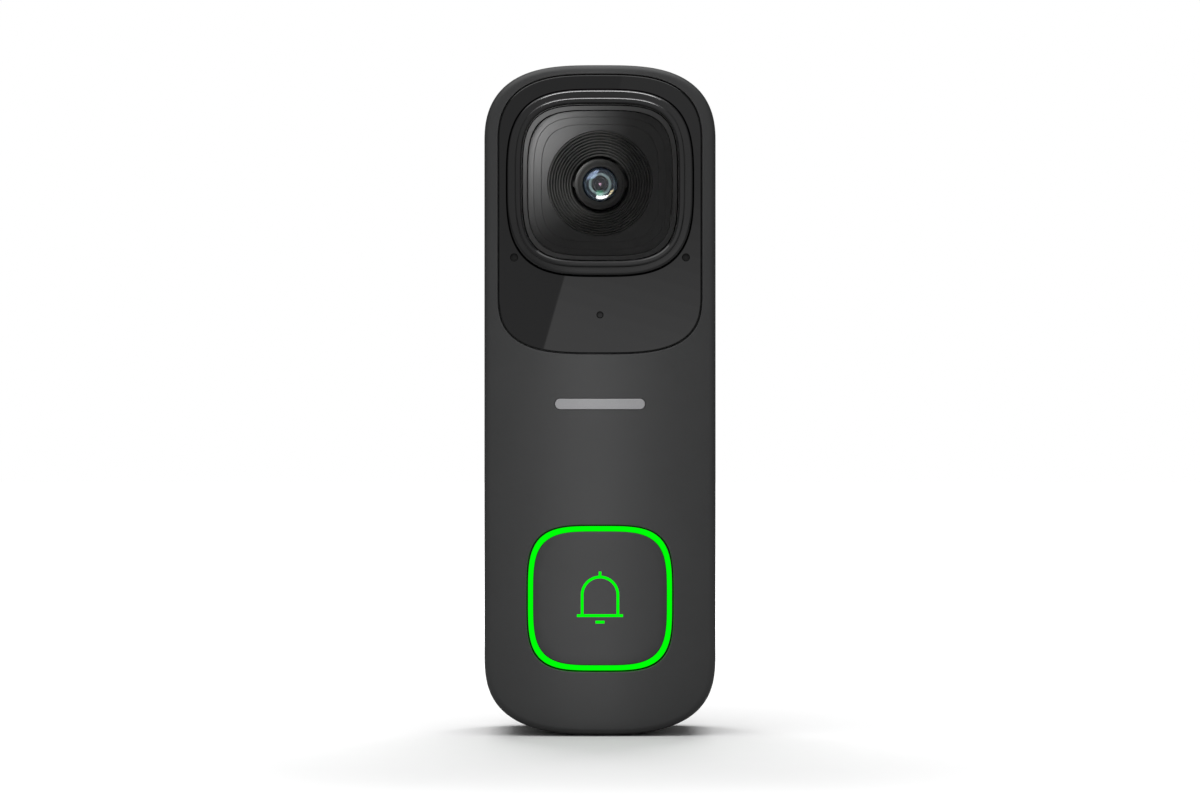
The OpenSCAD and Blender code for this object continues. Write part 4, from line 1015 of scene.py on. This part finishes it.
def floor():
    """Pale floor with painted light, a glow that rises to full white away from the object; clear from below.
    """
    mat = surface("floor_pale", (0.90, 0.90, 0.90), 0.8, grain=4 * MM, vary=0.004, bump=0.0, spec=0.05)
    nodes, links = mat.node_tree.nodes, mat.node_tree.links
    shader, out = nodes["Principled BSDF"], nodes["Material Output"]
    where = nodes.new("ShaderNodeTexCoord")
    far = nodes.new("ShaderNodeVectorMath")
    far.operation = "LENGTH"
    links.new(where.outputs["Object"], far.inputs[0])
    # painted light: the floor glows more the farther it lies from the object
    fade = nodes.new("ShaderNodeMapRange")
    fade.interpolation_type = "SMOOTHSTEP"
    fade.inputs["From Min"].default_value = FLOOR_GLOW_FROM_R
    fade.inputs["From Max"].default_value = FLOOR_GLOW_FULL_R
    fade.inputs["To Max"].default_value = 1.0
    links.new(far.outputs["Value"], fade.inputs["Value"])
    shader.inputs["Emission Color"].default_value = (1, 1, 1, 1)
    links.new(fade.outputs["Result"], shader.inputs["Emission Strength"])
    side = nodes.new("ShaderNodeNewGeometry")
    clear = nodes.new("ShaderNodeBsdfTransparent")
    mix = nodes.new("ShaderNodeMixShader")
    links.new(side.outputs["Backfacing"], mix.inputs["Fac"])
    links.new(shader.outputs[0], mix.inputs[1])
    links.new(clear.outputs[0], mix.inputs[2])
    # it throws less light back at the object than the camera sees on it
    path = nodes.new("ShaderNodeLightPath")
    dim = nodes.new("ShaderNodeBsdfDiffuse")
    dim.inputs["Color"].default_value = (FLOOR_BOUNCE, FLOOR_BOUNCE, FLOOR_BOUNCE, 1)
    seen = nodes.new("ShaderNodeMixShader")
    links.new(path.outputs["Is Camera Ray"], seen.inputs["Fac"])
    links.new(dim.outputs[0], seen.inputs[1])
    links.new(mix.outputs[0], seen.inputs[2])
    links.new(seen.outputs[0], out.inputs["Surface"])
    bpy.ops.mesh.primitive_plane_add(size=4.0, location=(0, 0, CAD_BOX[0][2] - 0.0002))
    plane = bpy.context.object
    plane.name = "studio_floor"
    plane.data.materials.append(mat)
    return plane


def piece_group(name, pieces):
    """Collection that a lamp's light linking can name."""
    group = bpy.data.collections.new(name)
    for piece in pieces:
        group.objects.link(piece)
    return group


def area_light(name, at, aim, size, radiance, only=(), shade=(), turn=0.0, colour=(1, 1, 1)):
    """Rectangular soft light. `only` names the pieces it lights, `shade` what shades it; empty is all."""
    data = bpy.data.lights.new(name, "AREA")
    data.shape = "RECTANGLE"
    data.size, data.size_y = size
    data.color = colour
    data.energy = radiance * math.pi * size[0] * size[1]
    lamp = bpy.data.objects.new(name, data)
    bpy.context.scene.collection.objects.link(lamp)
    lamp.location = at
    lamp.rotation_euler = (Vector(aim) - Vector(at)).to_track_quat("-Z", "Y").to_euler()
    lamp.rotation_euler.rotate_axis("Z", turn)
    lamp.visible_camera = False
    if only:
        lamp.light_linking.receiver_collection = piece_group(name + "_lit", only)
    if shade:
        lamp.light_linking.blocker_collection = piece_group(name + "_shade", shade)
    return lamp


def slanted_card(pieces):
    """Card whose slanted edge the panel mirrors. It fades toward its top in narrow bands."""
    y = CAMERA_Y - 0.02
    # a ray from the camera to a point on the panel reaches the card's depth at k times that point
    k = 1 + (abs(y) - abs(FRONT_Y)) / (abs(CAMERA_Y) - abs(FRONT_Y))
    slope = (EDGE_TOP[0] - EDGE_LOW[0]) / (EDGE_TOP[1] - EDGE_LOW[1])
    lean = math.atan(slope)
    across = Vector((math.cos(lean), 0, -math.sin(lean)))
    step = (FADE_TOP - FADE_LOW) / CARD_BANDS
    ends = [CARD_LOW, *(FADE_LOW + i * step for i in range(CARD_BANDS + 1)), CARD_TOP]
    for i, (low, high) in enumerate(zip(ends, ends[1:])):
        share = 1 - CARD_FADE * min(max((i - 0.5) / CARD_BANDS, 0), 1)
        mid = (low + high) / 2
        spot = k * Vector((EDGE_LOW[0] + slope * (mid - EDGE_LOW[1]), 0, mid)) + across * CARD_WIDE / 2
        spot.y = y
        size = (CARD_WIDE, k * (high - low) / math.cos(lean))
        area_light(f"slanted_card_{i}", spot, spot + Vector((0, 1, 0)), size, CARD_LIGHT * share, pieces,
                   turn=-lean)


def studio(panel, bezel, trim, optics, seal, element, satin):
    """Floor, lights and camera. Apart from the overhead light, each lamp serves the pieces that it names."""
    scene = bpy.context.scene
    scene.view_settings.view_transform = "Standard"
    world_light()
    ground = floor()
    area_light("floor_wash", (0, 0.44, 0.60), (0, -0.03, FOOT_Z), (0.75, 0.21), FLOOR_WASH, (ground,))
    area_light("overhead", (-0.06, -0.10, 0.62), (0, -0.05, 0), (0.7, 0.9), OVERHEAD)
    slanted_card((panel, bezel, trim))
    # small lamp beside the window's upper left corner, which grades the baffle behind the glass
    beside = Vector((-33 * MM, GLASS[0][1] - 28 * MM, LENS_Z + 24 * MM))
    small = (0.016, 0.016)
    area_light("window_lamp", beside, (0, BAFFLE[0][1], LENS_Z), small, WINDOW_LIGHT, optics)
    # its fill on the seal round the baffle, which the bezel would keep dark
    corner = Vector((-14 * MM, BAFFLE[0][1], LENS_Z + 14 * MM))
    area_light("seal_fill", corner - Vector((0, 20.6 * MM, 0)), corner, small, SEAL_LIGHT, (seal,), (seal,))
    # strip close to the front, which shades the casing's front off toward its sides
    area_light("front_strip", (-2 * MM, FRONT_Y - 0.032, 0), (-2 * MM, FRONT_Y, 0), (0.012, 0.15),
               FRONT_STRIP, satin)
    # strip above the bezel, for the bright lines along its upper edges
    eye = Vector((0, FRONT_Y, LENS_Z))
    area_light("bezel_strip", eye + Vector((0, -0.16, 0.19)), eye, (0.16, 0.10), STRIP_LIGHT, (bezel, trim))
    # sparks in the lens, as (name, polar angle, angle round the axis, width, height, radiance, colour)
    for name, polar, round_to, wide, tall, power, colour in (
        ("spark_white", 44, -82, 0.058, 0.064, 28, (1, 1, 1)),
        ("spark_amber", 50, -38, 0.050, 0.060, 11, (1.0, 0.84, 0.46)),
        ("spark_rose", 64, -92, 0.070, 0.034, 12, (1.0, 0.50, 0.72)),
        ("spark_green", 18, -92, 0.026, 0.028, 4, (0.25, 1.0, 0.60)),
        ("sky_blue", 47, 128, 0.084, 0.064, 9, (0.52, 0.68, 1.0)),
    ):
        p, q = math.radians(polar), math.radians(round_to)
        spot = eye + 0.1 * Vector((math.sin(p) * math.cos(q), -math.cos(p), math.sin(p) * math.sin(q)))
        area_light(name, spot, eye, (wide, tall), power, (element,), colour=colour)
    area_light("pupil_spark", (0, CAMERA_Y - 0.01, LENS_Z * 2), eye, (0.014, 0.080), 14, (element,),
               colour=(1.0, 0.62, 0.85))

    cam_data = bpy.data.cameras.new("camera")
    cam_data.lens = CAMERA_LENS
    cam_data.sensor_width = CAMERA_SENSOR
    cam = bpy.data.objects.new("camera", cam_data)
    scene.collection.objects.link(cam)
    cam.location = (0, CAMERA_Y, 0)
    cam.rotation_euler = (math.pi / 2, 0, 0)
    scene.camera = cam


# ---------------------------------------------------------------- the whole object

finish_frame()
shell = front_shell()
panel = camera_panel()
badge = badge_bar()
bezel = lens_bezel()
trim = bezel_trim()
window_glass()
baffle = lens_baffle()
barrel = lens_barrel()
element = front_lens()
inner_elements()
cap = button_cap()
bell_icon()
light_ring()
studio(panel, bezel, trim, (baffle, barrel), frame["nodes"]["window_seal"], element, (shell, badge, cap))
